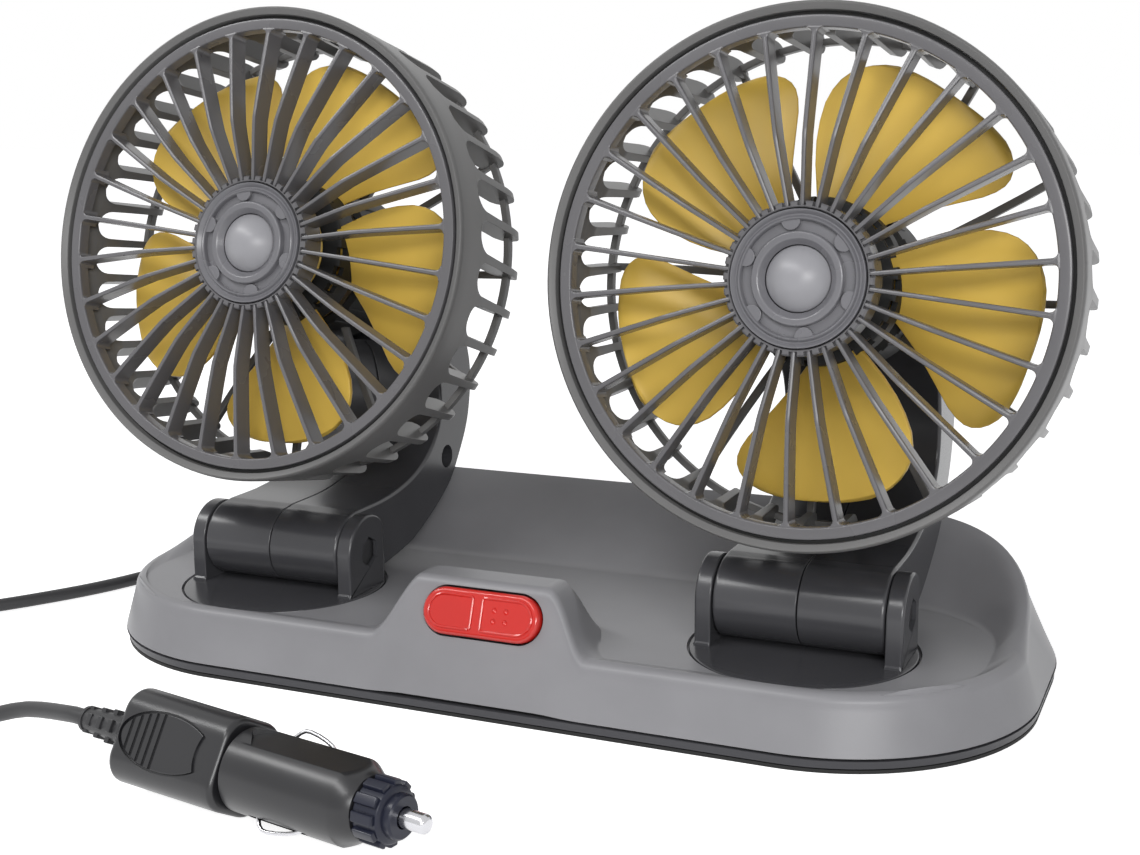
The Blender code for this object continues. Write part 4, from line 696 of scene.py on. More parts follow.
def make_gland():
    """The ribbed strain relief behind the base."""
    profile = [(0.0, -GLAND_INSIDE), (GLAND_NECK_RADIUS, -GLAND_INSIDE),
               (GLAND_NECK_RADIUS, GLAND_NECK_END), (GLAND_NECK_RADIUS + 0.0013,
                                                     GLAND_NECK_END + 0.0005)]
    for rib in range(GLAND_RIBS):
        radius = 0.0045 - 0.0004 * rib
        start = GLAND_NECK_END + 0.0007 + GLAND_RIB_PITCH * rib
        profile += [(radius, start), (radius, start + 0.0015), (radius - 0.0011, start + 0.0018),
                    (radius - 0.0011, start + 0.0027)]
    profile += [(0.0029, GLAND_LENGTH - 0.0002), (0.0, GLAND_LENGTH - 0.0002)]
    gland = smooth(soften(turned("cord_gland_rubber", profile, 32), 0.0002, 2, 50.0))
    settle(gland, Matrix.Translation((GLAND_X, BASE_DEPTH / 2 + GAP, GLAND_Z))
           @ Matrix.Rotation(math.radians(-90), 4, "X"))
    finish_piece(gland, "base", PLUG_BLACK, "plug_black", "cord_gland")


# Switch
SWITCH_PROUD = 0.0020
SWITCH_DEEP = 0.0010
SWITCH_ROUND = 0.0012
SWITCH_CREASE = -0.0012
SWITCH_DIP = 0.0009
TUBE_INSET = 0.0019
TUBE_RADIUS = 0.0004


def face_depth(u):
    """How far the rocker's face stands back at u, deepest at its crease."""
    half = SWITCH_LENGTH / 2
    run = half - SWITCH_CREASE if u > SWITCH_CREASE else half + SWITCH_CREASE
    return SWITCH_DIP * (1 - min(1.0, abs(u - SWITCH_CREASE) / run))


def tube(name, points, radius, closed=False, sides=8):
    """A thin round bar along points that lie in one plane of u and v."""
    rings = []
    count = len(points)
    for i, point in enumerate(points):
        before = points[i - 1] if closed or i else point
        after = points[(i + 1) % count] if closed or i < count - 1 else point
        run = (Vector(after) - Vector(before)).normalized()
        side = run.cross(Vector((0.0, 1.0, 0.0))).normalized()
        up = side.cross(run)
        rings.append([Vector(point) + radius * (math.cos(2 * math.pi * k / sides) * side
                                                + math.sin(2 * math.pi * k / sides) * up)
                      for k in range(sides)])
    return walk(name, rings, cap_first=not closed, cap_last=not closed, closed=closed)


def make_switch():
    """The glossy rocker with a crease, a raised D on each half and four dimples."""
    plate = rounded_prism("rocker_plate", stadium(SWITCH_LENGTH, SWITCH_HEIGHT, 20), SWITCH_DEEP,
                          -SWITCH_PROUD, lambda u, v, along: (u, along, v), last=SWITCH_ROUND)
    start_editing(plate)
    for place in (SWITCH_CREASE, SWITCH_CREASE - 0.0010, SWITCH_CREASE + 0.0010):
        bpy.ops.mesh.select_all(action="SELECT")
        bpy.ops.mesh.bisect(plane_co=(place, 0.0, 0.0), plane_no=(1.0, 0.0, 0.0))
    bpy.ops.object.mode_set(mode="OBJECT")
    for vert in plate.data.vertices:
        if vert.co.y < 0.0:
            vert.co.y += face_depth(vert.co.x)
    rims = []
    radius = SWITCH_HEIGHT / 2 - TUBE_INSET
    for side in (-1, 1):
        near = SWITCH_CREASE + side * 0.0014
        centre = side * (SWITCH_LENGTH / 2 - SWITCH_HEIGHT / 2)
        points = [(near + side * 0.0004 * i, radius) for i in (1, 4)]
        points += arc(radius, 90, 90 - side * 180, 12, (centre, 0.0))
        points += [(near + side * 0.0004 * i, -radius) for i in (4, 1)]
        points += [(near, radius * (share - 1.0)) for share in (0.1, 1.0, 1.9)]
        rims.append(tube("rocker_rim", [(u, face_depth(u) - SWITCH_PROUD, v)
                                        for u, v in points], TUBE_RADIUS, closed=True))
    for u in (0.0038, 0.0072):
        for v in (-0.0014, 0.0014):
            bpy.ops.mesh.primitive_uv_sphere_add(segments=20, ring_count=12, radius=0.0008,
                                                 location=(u, face_depth(u) - SWITCH_PROUD
                                                           - 0.0003, v))
            cut(plate, settle(bpy.context.object))
    rocker = smooth(joined("switch_rocker_red", [plate] + rims))
    settle(rocker, face_frame())
    finish_piece(rocker, "rocker", RED_GLOSS, "red_gloss", "switch_rocker")


# Turntables, hinges and arms
DISC_THICKNESS = 0.0025
DISC_EDGE = 0.0005
NECK_RADIUS = 0.0160
NECK_LENGTH = 0.0048
HINGE_BEHIND_DISC = 0.0030
HINGE_Z = 0.0284
BARREL_RADIUS = 0.0107
BARREL_HALF_WIDTH = 0.0221
EAR_THICKNESS = 0.0044
EAR_ROUND = 0.0008
BOLT_RADIUS = 0.0025
HEX_RADIUS = 0.0042
HEX_HEIGHT = 0.0017
HEX_RECESS = 0.0010
PIVOT_REACH = 0.0469
PIVOT_RISE = 0.0670
PIVOT_EYE_RADIUS = 0.0090
PIN_RADIUS = 0.0030
PIN_HALF_LENGTH = 0.0200
FORK_HALF_GAP = 0.0070
FORK_DEPTH = 0.0135
ARM_SCREW_REACH = 0.0571
ARM_SCREW_RISE = 0.0158
ARM_SCREW_POCKET_RADIUS = 0.0036
ARM_SCREW_POCKET_DEPTH = 0.0120
ARM_SIDE_ROUND = 0.0010
ARM_SPLIT_ROUND = 0.0003


def across(u, v, along):
    return Vector((along, u, v))


def make_turntable():
    """The disc with its two ears, about the disc's own centre at floor level."""
    bottom = -DISC_THICKNESS
    disc = turned("turntable", [(0.0, 0.0), (DISC_RADIUS - 0.004, 0.0),
                                (DISC_RADIUS - DISC_EDGE, 0.0),
                                (DISC_RADIUS - DISC_EDGE * 0.3, -DISC_EDGE * 0.3),
                                (DISC_RADIUS, -DISC_EDGE), (DISC_RADIUS, bottom),
                                (NECK_RADIUS, bottom), (NECK_RADIUS, bottom - NECK_LENGTH),
                                (0.0, bottom - NECK_LENGTH)], 128)
    hinge = Vector((0.0, HINGE_BEHIND_DISC, HINGE_Z - FLOOR_HEIGHT))
    outline = arc(BARREL_RADIUS, 0, 180, 32)
    foot = -hinge.z
    flare = 0.0004
    for side in (-1, 1):
        outline += [(side * BARREL_RADIUS, foot + 0.0010), (side * (BARREL_RADIUS + flare),
                                                            foot + 0.0006),
                    (side * (BARREL_RADIUS + flare), foot - 0.0004)][::-side]
    inner = BARREL_HALF_WIDTH + GAP
    reach = inner + EAR_THICKNESS
    for side in (-1, 1):
        lug = rounded_prism("ear", outline, side * inner, side * reach,
                            lambda u, v, along: hinge + across(u, v, along),
                            first=0.0004, last=EAR_ROUND)
        within = rod(DISC_RADIUS - GAP, (0.0, 0.0, -0.01), (0.0, 0.0, 0.03), 128)
        cut(disc, cut(lug, within, "INTERSECT", "MANIFOLD"), "UNION", "MANIFOLD")
    cut(disc, rod(BOLT_RADIUS + GAP, hinge - Vector((reach + 0.004, 0.0, 0.0)),
                  hinge + Vector((reach + 0.004, 0.0, 0.0)), 32), solver="MANIFOLD")
    for side in (-1, 1):
        cut(disc, rod(HEX_RADIUS + GAP,
                      hinge + Vector((side * (reach - HEX_HEIGHT - HEX_RECESS), 0.0, 0.0)),
                      hinge + Vector((side * (reach + 0.004), 0.0, 0.0)), 6),
            solver="MANIFOLD")
    return smooth(disc)


def arm_outline():
    """Side view of the arm: the barrel, the curved beam and the eye at the head's pivot."""
    top_shares = ((0.00, 1.00), (0.19, 1.03), (1.80, 1.05), (3.10, 1.26), (4.00, 1.62),
                  (4.62, 2.12), (4.98, 2.72), (5.02, 3.60), (4.72, 4.55), (4.10, 5.15))
    rear_shares = ((6.05, 5.75), (6.75, 4.80), (7.02, 3.80), (6.90, 2.80), (6.62, 2.05),
                   (6.05, 1.22), (5.55, 0.66), (4.70, 0.12), (3.40, -0.48), (2.45, -0.70),
                   (1.30, -0.86), (0.36, -0.94))
    size = BARREL_RADIUS
    beam = [(size * u, size * v, 0.0) for u, v in top_shares]
    beam += [(u, v, 0.0) for u, v in arc(PIVOT_EYE_RADIUS, 200, 0, 8, (PIVOT_REACH, PIVOT_RISE))]
    beam += [(size * u, size * v, 0.0) for u, v in rear_shares]
    points = [(point.x, point.y) for point in smooth_route(beam, 0.0016)]
    return points + arc(size, -75, -265, 38)


def make_arm_half(side):
    """One shell of the arm, about the hinge's axis."""
    outline = arm_outline()
    half = rounded_prism("arm_half", outline, side * GAP / 2, side * BARREL_HALF_WIDTH, across,
                         first=ARM_SPLIT_ROUND, last=ARM_SIDE_ROUND)
    far = side * (BARREL_HALF_WIDTH + 0.004)
    near = -side * 0.004
    cut(half, rod(BOLT_RADIUS + GAP, (near, 0.0, 0.0), (far, 0.0, 0.0), 32))
    cut(half, rod(PIN_RADIUS + GAP, (near, PIVOT_REACH, PIVOT_RISE),
                  (side * (PIN_HALF_LENGTH + GAP), PIVOT_REACH, PIVOT_RISE), 32))
    cut(half, block((FORK_HALF_GAP + 0.004, 2 * FORK_DEPTH, 2 * FORK_DEPTH),
                    (side * (FORK_HALF_GAP - 0.004) / 2, PIVOT_REACH, PIVOT_RISE)))
    if side > 0:
        cut(half, rod(ARM_SCREW_POCKET_RADIUS,
                      (BARREL_HALF_WIDTH - ARM_SCREW_POCKET_DEPTH, ARM_SCREW_REACH,
                       ARM_SCREW_RISE), (far, ARM_SCREW_REACH, ARM_SCREW_RISE), 40))
    cut(half, rod(0.0018, (near, ARM_SCREW_REACH, ARM_SCREW_RISE),
                  (side * (BARREL_HALF_WIDTH - ARM_SCREW_POCKET_DEPTH + 0.001),
                   ARM_SCREW_REACH, ARM_SCREW_RISE), 24))
    return smooth(half)


# Fan heads, about each head's own axis: Z runs back, Y down
RIM_RADIUS = 0.0653
RIM_WALL = 0.0023
BAND_LENGTH = 0.0095
FIN_COUNT = 36
FIN_HALF = 0.0013
FIN_END_HALF = 0.0010
FIN_END = 0.0372
FIN_DEPTH = 0.0066
FIN_SWIRL = math.radians(2.5)
CAGE_WALLS = (
    (-0.0010, 0.0647, 0.0630), (-0.0007, 0.0651, 0.0630), (0.0000, 0.0653, 0.0630),
    (0.0038, 0.0653, 0.0630), (0.0095, 0.0653, 0.0606), (0.0130, 0.0653, 0.0595),
    (0.0310, 0.0650, 0.0586), (0.0340, 0.0647, 0.0590), (0.0356, 0.0643, 0.0596),
    (0.0366, 0.0637, 0.0603), (0.0372, 0.0630, 0.0610))
HOOP_PLACE = 0.0326
HOOP_LENGTH = 0.0026
HOOP_RADIUS = 0.0626
HOOP_WALL = 0.0018
RIB_COUNT = 12
RIB_RISE = 0.0030
HOUSING_RADIUS = 0.0215
HOUSING_WALL = 0.0022
HOUSING_START = 0.0270
HOUSING_END = 0.0500
RIDGE_COUNT = 24
PIVOT_BEHIND = 0.0620
PIVOT_BELOW = 0.0080
LUG_RADIUS = 0.0070
GRILLE_OUTER = 0.0621
GRILLE_INNER = 0.0590
GRILLE_THICKNESS = 0.0034
SPOKE_COUNT = 30
SPOKE_DEPTH = 0.0062
SPOKE_ROUND = 0.00055
SPOKE_FILLET = 0.0014
SPOKE_FOOT = 0.0014
SPOKE_TENON = 0.0015
COLLAR_RADIUS = 0.0184
COLLAR_BORE = 0.0168
COLLAR_FLOOR = 0.0020
COLLAR_END = 0.0058
TAB_COUNT = 6
TAB_RADIUS = 0.0023
TAB_TURN = math.radians(100.0)
IMPELLER_RADIUS = 0.0544
IMPELLER_HUB_RADIUS = 0.0155
IMPELLER_HUB_START = 0.0115
IMPELLER_HUB_LENGTH = 0.0130
SHAFT_RADIUS = 0.0015
BLADE_PLACE = 0.0190
BLADE_COUNT = 5
BLADE_THICKNESS = 0.0014
BLADE_SPAN = math.radians(60.0)
BLADE_SWEEP = math.radians(16.0)
BLADE_ROOT_RISE = 0.0100
BLADE_TIP_RISE = 0.0085


def head_matrix(name):
    """Where a head's own frame stands in the model."""
    joint = JOINTS[name + "fan_spin"]
    back = Vector(joint["axis"]).normalized()
    right = Vector((1.0, 0.0, 0.0))
    turn = Matrix((right, back.cross(right), back)).transposed().to_4x4()
    return Matrix.Translation(joint["pos_m"]) @ turn


def around(radius, angle, place):
    return Vector((radius * math.cos(angle), radius * math.sin(angle), place))


def cage_walls(place):
    """The outer and the inner radius of the cage at a place along its axis."""
    for (low, out_a, in_a), (high, out_b, in_b) in zip(CAGE_WALLS, CAGE_WALLS[1:]):
        if place <= high:
            share = (place - low) / (high - low)
            return out_a + share * (out_b - out_a), in_a + share * (in_b - in_a)
    return CAGE_WALLS[-1][1:]


def make_lattice():
    """The rim's band with the fins that grow out of it, one sheet given its thickness."""
    middle = RIM_RADIUS - RIM_WALL / 2
    pitch = 2 * math.pi / FIN_COUNT
    half_pitch = middle * pitch / 2
    fillet = half_pitch - FIN_HALF
    rows = [(place, half_pitch) for place, _, _ in CAGE_WALLS[:4]] + [(0.0065, half_pitch)]
    for drop in (0.0, 0.04, 0.12, 0.25, 0.42, 0.62, 0.82, 1.0):
        spare = fillet * (1 - math.sqrt(1 - (1 - drop) ** 2))
        rows.append((BAND_LENGTH + drop * fillet, FIN_HALF + spare))
    for place in (0.0190, 0.0250, 0.0310, 0.0340, 0.0356, 0.0366, FIN_END):
        share = (place - BAND_LENGTH) / (FIN_END - BAND_LENGTH)
        rows.append((place, FIN_HALF + share * (FIN_END_HALF - FIN_HALF)))
    strips = []
    for place, half in rows:
        radius = sum(cage_walls(place)) / 2
        centre = FIN_SWIRL * max(0.0, (place - BAND_LENGTH) / (FIN_END - BAND_LENGTH))
        spread = pitch / 2 * min(1.0, half / half_pitch)
        strips.append([around(radius, centre + spread * across_share, place)
                       for across_share in (-1.0, -0.5, 0.0, 0.5, 1.0)])
    lattice = spun_copies(walk("lattice", strips, open_row=True), FIN_COUNT)
    group = lattice.vertex_groups.new(name="depth")
    for vert in lattice.data.vertices:
        outer, inner = cage_walls(vert.co.z)
        group.add([vert.index], (outer - inner) / FIN_DEPTH, "REPLACE")
    apply_modifier(lattice, "SOLIDIFY", thickness=FIN_DEPTH, offset=0.0, vertex_group="depth",
                   thickness_vertex_group=0.0)
    lattice.vertex_groups.clear()
    return soften(lattice, 0.0004, 2, 50.0)


def make_cage():
    """Band, fins, hoop, back ribs and pivot lug."""
    lattice = make_lattice()
    hoop_end = HOOP_PLACE + HOOP_LENGTH
    inner = HOOP_RADIUS - HOOP_WALL
    hoop = soften(turned("hoop", [(HOOP_RADIUS, HOOP_PLACE), (HOOP_RADIUS, hoop_end),
                                  (inner, hoop_end), (inner, HOOP_PLACE)], 144, closed=True),
                  0.0003, 2)
    rings = []
    for share in (0.0, 0.25, 0.5, 0.75, 1.0):
        radius = inner + 0.0008 + share * (HOUSING_RADIUS - inner - 0.0018)
        angle = FIN_SWIRL * (1 + share)
        place = hoop_end - 0.0022 + share * RIB_RISE
        half = 0.0010 / radius
        rings.append([around(radius, angle - half, place), around(radius, angle + half, place),
                      around(radius, angle + half, place + 0.0022),
                      around(radius, angle - half, place + 0.0022)])
    ribs = spun_copies(soften(walk("ribs", rings, cap_first=True, cap_last=True), 0.0003, 2, 50.0),
                       RIB_COUNT)
    outline = [(HOUSING_END - 0.001, PIVOT_BELOW - LUG_RADIUS),
               *arc(LUG_RADIUS, -90, 90, 24, (PIVOT_BEHIND, PIVOT_BELOW)),
               (HOUSING_END - 0.001, PIVOT_BELOW + LUG_RADIUS)]
    width = FORK_HALF_GAP - GAP
    lug = rounded_prism("lug", outline, -width, width,
                        lambda back, down, along: (along, down, back), first=0.0005, last=0.0005)
    cut(lug, rod(PIN_RADIUS + GAP, (-width - 0.004, PIVOT_BELOW, PIVOT_BEHIND),
                 (width + 0.004, PIVOT_BELOW, PIVOT_BEHIND), 32))
    return smooth(joined("rear_cage", [lattice, hoop, ribs, lug]))


def make_housing():
    """The motor's cup with its raised ridges."""
    bore = HOUSING_RADIUS - HOUSING_WALL
    edge = 0.0012
    cup = turned("housing", [(0.0, HOUSING_END), (HOUSING_RADIUS - edge, HOUSING_END),
                             (HOUSING_RADIUS - edge * 0.3, HOUSING_END - edge * 0.3),
                             (HOUSING_RADIUS, HOUSING_END - edge), (HOUSING_RADIUS, HOUSING_START),
                             (bore, HOUSING_START), (bore, HOUSING_END - HOUSING_WALL),
                             (0.0, HOUSING_END - HOUSING_WALL)], 72)
    ridge = block((0.0010, 0.0022, 0.0120),
                  (HOUSING_RADIUS - 0.0001, 0.0, HOUSING_START + 0.0060))
    ridges = spun_copies(soften(ridge, 0.0002, 1), RIDGE_COUNT)
    return smooth(joined("motor_housing", [cup, ridges]))


def spoke_front(radius):
    """How far the spokes' front edge stands out at a radius."""
    marks = ((0.0160, 0.0021), (0.0172, 0.0023), (0.0230, 0.0029), (0.0290, 0.0036),
             (0.0340, 0.0040), (0.0390, 0.0034), (0.0450, 0.0025), (0.0520, 0.0014),
             (0.0588, 0.0003), (0.0595, 0.0002), (0.0606, -0.0004))
    for (low, a), (high, b) in zip(marks, marks[1:]):
        if radius <= high:
            return a + (b - a) * (radius - low) / (high - low)
    return marks[-1][1]


def make_spoke():
    """One grille spoke, a web with a rounded front that is filleted into the ring."""
    radii = [(0.0171, 0.0006), (0.0173, 0.0009), (0.0178, 0.0011), (0.0230, 0.0011),
             (0.0290, 0.00115), (0.0325, 0.0012), (0.0340, 0.0012), (0.0355, 0.0012),
             (0.0400, 0.00125), (0.0480, 0.0013), (GRILLE_INNER - SPOKE_FILLET, SPOKE_FOOT)]
    for share in (0.75, 0.5, 0.3, 0.15, 0.05, 0.0):
        spare = SPOKE_FILLET * (1 - math.sqrt(1 - (1 - share) ** 2))
        radii.append((GRILLE_INNER - share * SPOKE_FILLET, SPOKE_FOOT + 2 * spare))
    radii += [(GRILLE_INNER + step, SPOKE_FOOT + 2 * SPOKE_FILLET)
              for step in (0.0006, SPOKE_TENON)]
    rings = []
    for radius, width in radii:
        round_off = min(SPOKE_ROUND, width * 0.44)
        front = -spoke_front(radius)
        back = front + (SPOKE_DEPTH if radius < GRILLE_INNER - SPOKE_FILLET else
                        GRILLE_THICKNESS + (SPOKE_DEPTH - GRILLE_THICKNESS)
                        * min(1.0, (GRILLE_INNER + SPOKE_TENON - radius) / SPOKE_FILLET))
        half = width / 2
        nick = 0.29 * round_off
        points = [(-half, back), (-half, front + round_off), (-half + nick, front + nick),
                  (-half + round_off, front), (half - round_off, front),
                  (half - nick, front + nick), (half, front + round_off), (half, back)]
        rings.append([around(radius, math.pi / SPOKE_COUNT + along / radius, place)
                      for along, place in points])
    return walk("spoke", rings, cap_first=True, cap_last=True)


def make_grille():
    """The grille's ring, its 30 spokes and the toothed collar."""
    ring = turned("ring", [(GRILLE_OUTER + 0.0004, GRILLE_THICKNESS),
                           (GRILLE_OUTER + 0.0004, 0.0020), (GRILLE_OUTER, 0.0020),
                           (GRILLE_OUTER, 0.0004), (GRILLE_OUTER - 0.0002, -0.0001),
                           (GRILLE_OUTER - 0.0007, -0.0003), (GRILLE_INNER + 0.0006, -0.0003),
                           (GRILLE_INNER + 0.0002, -0.0001), (GRILLE_INNER, 0.0003),
                           (GRILLE_INNER, GRILLE_THICKNESS)], 180, closed=True)
    collar = turned("collar", [(0.0, COLLAR_END), (COLLAR_RADIUS, COLLAR_END),
                               (COLLAR_RADIUS, -0.0021), (COLLAR_RADIUS - 0.0004, -0.0025),
                               (COLLAR_BORE + 0.0002, -0.0025), (COLLAR_BORE, -0.0023),
                               (COLLAR_BORE, COLLAR_FLOOR), (0.0, COLLAR_FLOOR)], 120)
    notch = block((0.0022, 0.0021, 0.0036), (COLLAR_RADIUS - 0.0001, 0.0, -0.0030))
    cut(collar, spun_copies(swung(notch, -math.pi / SPOKE_COUNT), SPOKE_COUNT))
    spokes = spun_copies(make_spoke(), SPOKE_COUNT)
    return smooth(joined("front_grille", [ring, collar, spokes]))


def make_groove_shade():
    """A black ring, painted shade at the bottom of the gap between the rim and the grille's ring.
    """
    return smooth(turned("rim_groove", [(GRILLE_OUTER + 0.00005, 0.0016), (0.06295, 0.0016),
                                        (0.06295, 0.0019), (GRILLE_OUTER + 0.00005, 0.0019)],
                         180, closed=True), 35.0)


def make_hub_ring():
    """The hub's ring: dished cone, lip, channel with six tabs, and the flat collar."""
    back = COLLAR_FLOOR - GAP
    ring = turned("hub_ring", [
        (0.0081, back), (0.0081, -0.0018), (0.0083, -0.0020), (0.0093, -0.0030),
        (0.0095, -0.0032), (0.0098, -0.0033), (0.0108, -0.0033), (0.0111, -0.0031),
        (0.0113, -0.0027), (0.0114, -0.0014), (0.0137, -0.0014), (0.0138, -0.0024),
        (0.0140, -0.0028), (0.0143, -0.0030), (0.0146, -0.0028), (0.0148, -0.0024),
        (0.0150, -0.0021), (0.0153, -0.0021), (0.0162, -0.0029), (0.0164, -0.0029),
        (0.0165, -0.0027), (0.0165, back)], 120, closed=True)
    outline = [(0.0140, 0.0024), *arc(TAB_RADIUS, 100, 260, 16, (0.0138, 0.0)), (0.0140, -0.0024)]
    tab = rounded_prism("tab", outline, -0.0010, -0.0026, last=0.0002)
    tabs = spun_copies(swung(tab, TAB_TURN), TAB_COUNT)
    return smooth(joined("hub_ring", [ring, tabs]))


def make_hub_cap():
    """The domed cap in the middle of the hub."""
    profile = [(0.0, -0.0060)]
    for share in (0.15, 0.3, 0.45, 0.6, 0.72, 0.82, 0.9, 0.96, 0.99):
        profile.append((0.0079 * share, -0.0060 + 0.0044 * share ** 2.4))
    profile += [(0.0079, -0.0012), (0.0079, COLLAR_FLOOR - GAP),
                (0.0, COLLAR_FLOOR - GAP)]
    return smooth(turned("hub_cap", profile, 96), 50.0)


def make_impeller():
    """Five smooth petals on a cup hub."""
    marks = ((0.00, 0.62), (0.18, 0.78), (0.36, 0.91), (0.50, 0.97), (0.62, 0.995), (0.73, 1.00),
             (0.81, 0.975), (0.87, 0.935), (0.915, 0.88), (0.950, 0.81), (0.975, 0.73),
             (0.990, 0.645), (1.00, 0.52))
    root = IMPELLER_HUB_RADIUS - 0.0015
    columns = 13
    rows = []
    for out_share, span_share in marks:
        radius = root + out_share * (IMPELLER_RADIUS - root)
        rise = BLADE_ROOT_RISE + out_share * (BLADE_TIP_RISE - BLADE_ROOT_RISE)
        row = []
        for column in range(columns):
            share = column / (columns - 1) - 0.5
            turn = BLADE_SWEEP * out_share + BLADE_SPAN * span_share * share
            bow = 0.0010 * (1 - 4 * share * share)
            row.append(around(radius, turn, BLADE_PLACE + rise * share - bow))
        rows.append(row)
    blade = walk("blade", rows, open_row=True)
    apply_modifier(blade, "SOLIDIFY", thickness=BLADE_THICKNESS, offset=0.0)
    soften(blade, 0.0004, 2, 60.0)
    blades = spun_copies(blade, BLADE_COUNT)
    end = IMPELLER_HUB_START + IMPELLER_HUB_LENGTH
    bore = SHAFT_RADIUS + GAP
    hub = turned("hub", [(bore, end), (IMPELLER_HUB_RADIUS, end),
                         (IMPELLER_HUB_RADIUS, IMPELLER_HUB_START + 0.0025),
                         (IMPELLER_HUB_RADIUS - 0.0007, IMPELLER_HUB_START + 0.0008),
                         (IMPELLER_HUB_RADIUS - 0.0025, IMPELLER_HUB_START),
                         (bore, IMPELLER_HUB_START)], 72, closed=True)
    return smooth(joined("impeller", [blades, hub]), 45.0)


def make_skirt():
    """The black notched ring behind the hub, out of which the blades grow."""
    skirt = turned("skirt", [(0.0150, 0.0122), (0.0195, 0.0126), (0.0205, 0.0130),
                             (0.0208, 0.0138), (0.0208, 0.0215), (0.0194, 0.0215),
                             (0.0194, 0.0146), (0.0150, 0.0140)], 96, closed=True)
    notch = block((0.0030, 0.0024, 0.0050), (0.0208, 0.0, 0.0130))
    return smooth(cut(skirt, spun_copies(notch, RIDGE_COUNT)))


# Plug
GRIP_LENGTH = 0.0325
GRIP_HEIGHT = 0.0184
GRIP_WIDTH = 0.0212
GRIP_TAPER = -0.0006
GRIP_ROUND = 0.0060
GRIP_END_ROUND = 0.0016
GRIP_ROLL = math.radians(60.0)
PANEL_MIDDLE = 0.0154
PANEL_HALF_LENGTH = 0.0142
PANEL_HALF_WIDTH = 0.0067
GROOVE_COUNT = 5
GROOVE_START = 0.0042
GROOVE_PITCH = 0.0023
BARREL_START = 0.0328
PLUG_BARREL_RADIUS = 0.0094
PLUG_BARREL_LENGTH = 0.0358
PLUG_BORE_RADIUS = 0.0037
PLUG_CAP_RADIUS = 0.0072
PLUG_CAP_LENGTH = 0.0086
PLUG_CAP_WALL = 0.0022
CAP_RIBS = 11
PLUG_TIP_RADIUS = 0.0021
PLUG_TIP_LENGTH = 0.0064
WIRE_RADIUS = 0.0006
WIRE_PROUD = 0.0020
WIRE_LENGTH = 0.0140
WIRE_START = 0.0080
WIRE_TURN = math.radians(50.0)


def grip_ring(place, drawn_in):
    """One rounded section of the grip, drawn in all round, its panel's side up."""
    taper = GRIP_TAPER * (1 - place / GRIP_LENGTH)
    half_width = (GRIP_WIDTH - taper) / 2 - drawn_in
    half_height = (GRIP_HEIGHT - taper) / 2 - drawn_in
    radius = GRIP_ROUND - drawn_in
    points = []
    for side_y, side_z, start in QUARTERS:
        points += arc(radius, start, start + 90, 12,
                      (side_y * (half_width - radius), side_z * (half_height - radius)))
    return [Vector((place, u, v)) for u, v in points]


def lay_along(shape):
    """Turn a shape made along Z so that it runs along X."""
    return settle(shape, Matrix.Rotation(math.radians(90), 4, "Y"))


def rolled(shape):
    """Roll a piece about the plug's axis, so that its panel's side faces up and forwards."""
    return settle(shape, Matrix.Rotation(GRIP_ROLL, 4, "X"))


def oval(drawn_in):
    return ellipse(PANEL_MIDDLE, PANEL_HALF_LENGTH - drawn_in, PANEL_HALF_WIDTH - drawn_in, 60)


def make_grip():
    """The grip with an oval panel above and below, grooves across it and a hollow."""
    rings = []
    for turn in (0, 22.5, 45, 67.5, 90):
        away = GRIP_END_ROUND * (1 - math.sin(math.radians(turn)))
        rings.append(grip_ring(GRIP_END_ROUND * (1 - math.cos(math.radians(turn))), away))
    rings += [grip_ring(GRIP_LENGTH * share, 0.0) for share in (0.3, 0.6, 0.9)]
    for turn in (0, 30, 60, 90):
        rings.append(grip_ring(GRIP_LENGTH - 0.0012 * (1 - math.sin(math.radians(turn))),
                               0.0012 * (1 - math.cos(math.radians(turn)))))
    grip = walk("grip", rings, cap_first=True, cap_last=True)
    top = GRIP_HEIGHT / 2 - GRIP_TAPER / 4
    for side in (-1, 1):
        def raised(u, v, along):
            return Vector((u, v, side * along))
        cut(grip, prism("panel", oval(0.0), top - 0.0007, top + 0.004, raised))
        pad = rounded_prism("pad", oval(0.0004), top - 0.0016, top - 0.0002, raised, last=0.0003)
        for groove in range(GROOVE_COUNT):
            cut(pad, block((0.0009, 0.020, 0.0030), (GROOVE_START + GROOVE_PITCH * groove, 0.0,
                                                     side * (top + 0.0004))))
        hollow = ellipse(PANEL_MIDDLE + PANEL_HALF_LENGTH, 0.0046, 0.0064, 45)
        cut(pad, prism("hollow", hollow, top - 0.0012, top + 0.003, raised))
        cut(grip, pad, "UNION")
    return rolled(smooth(grip))


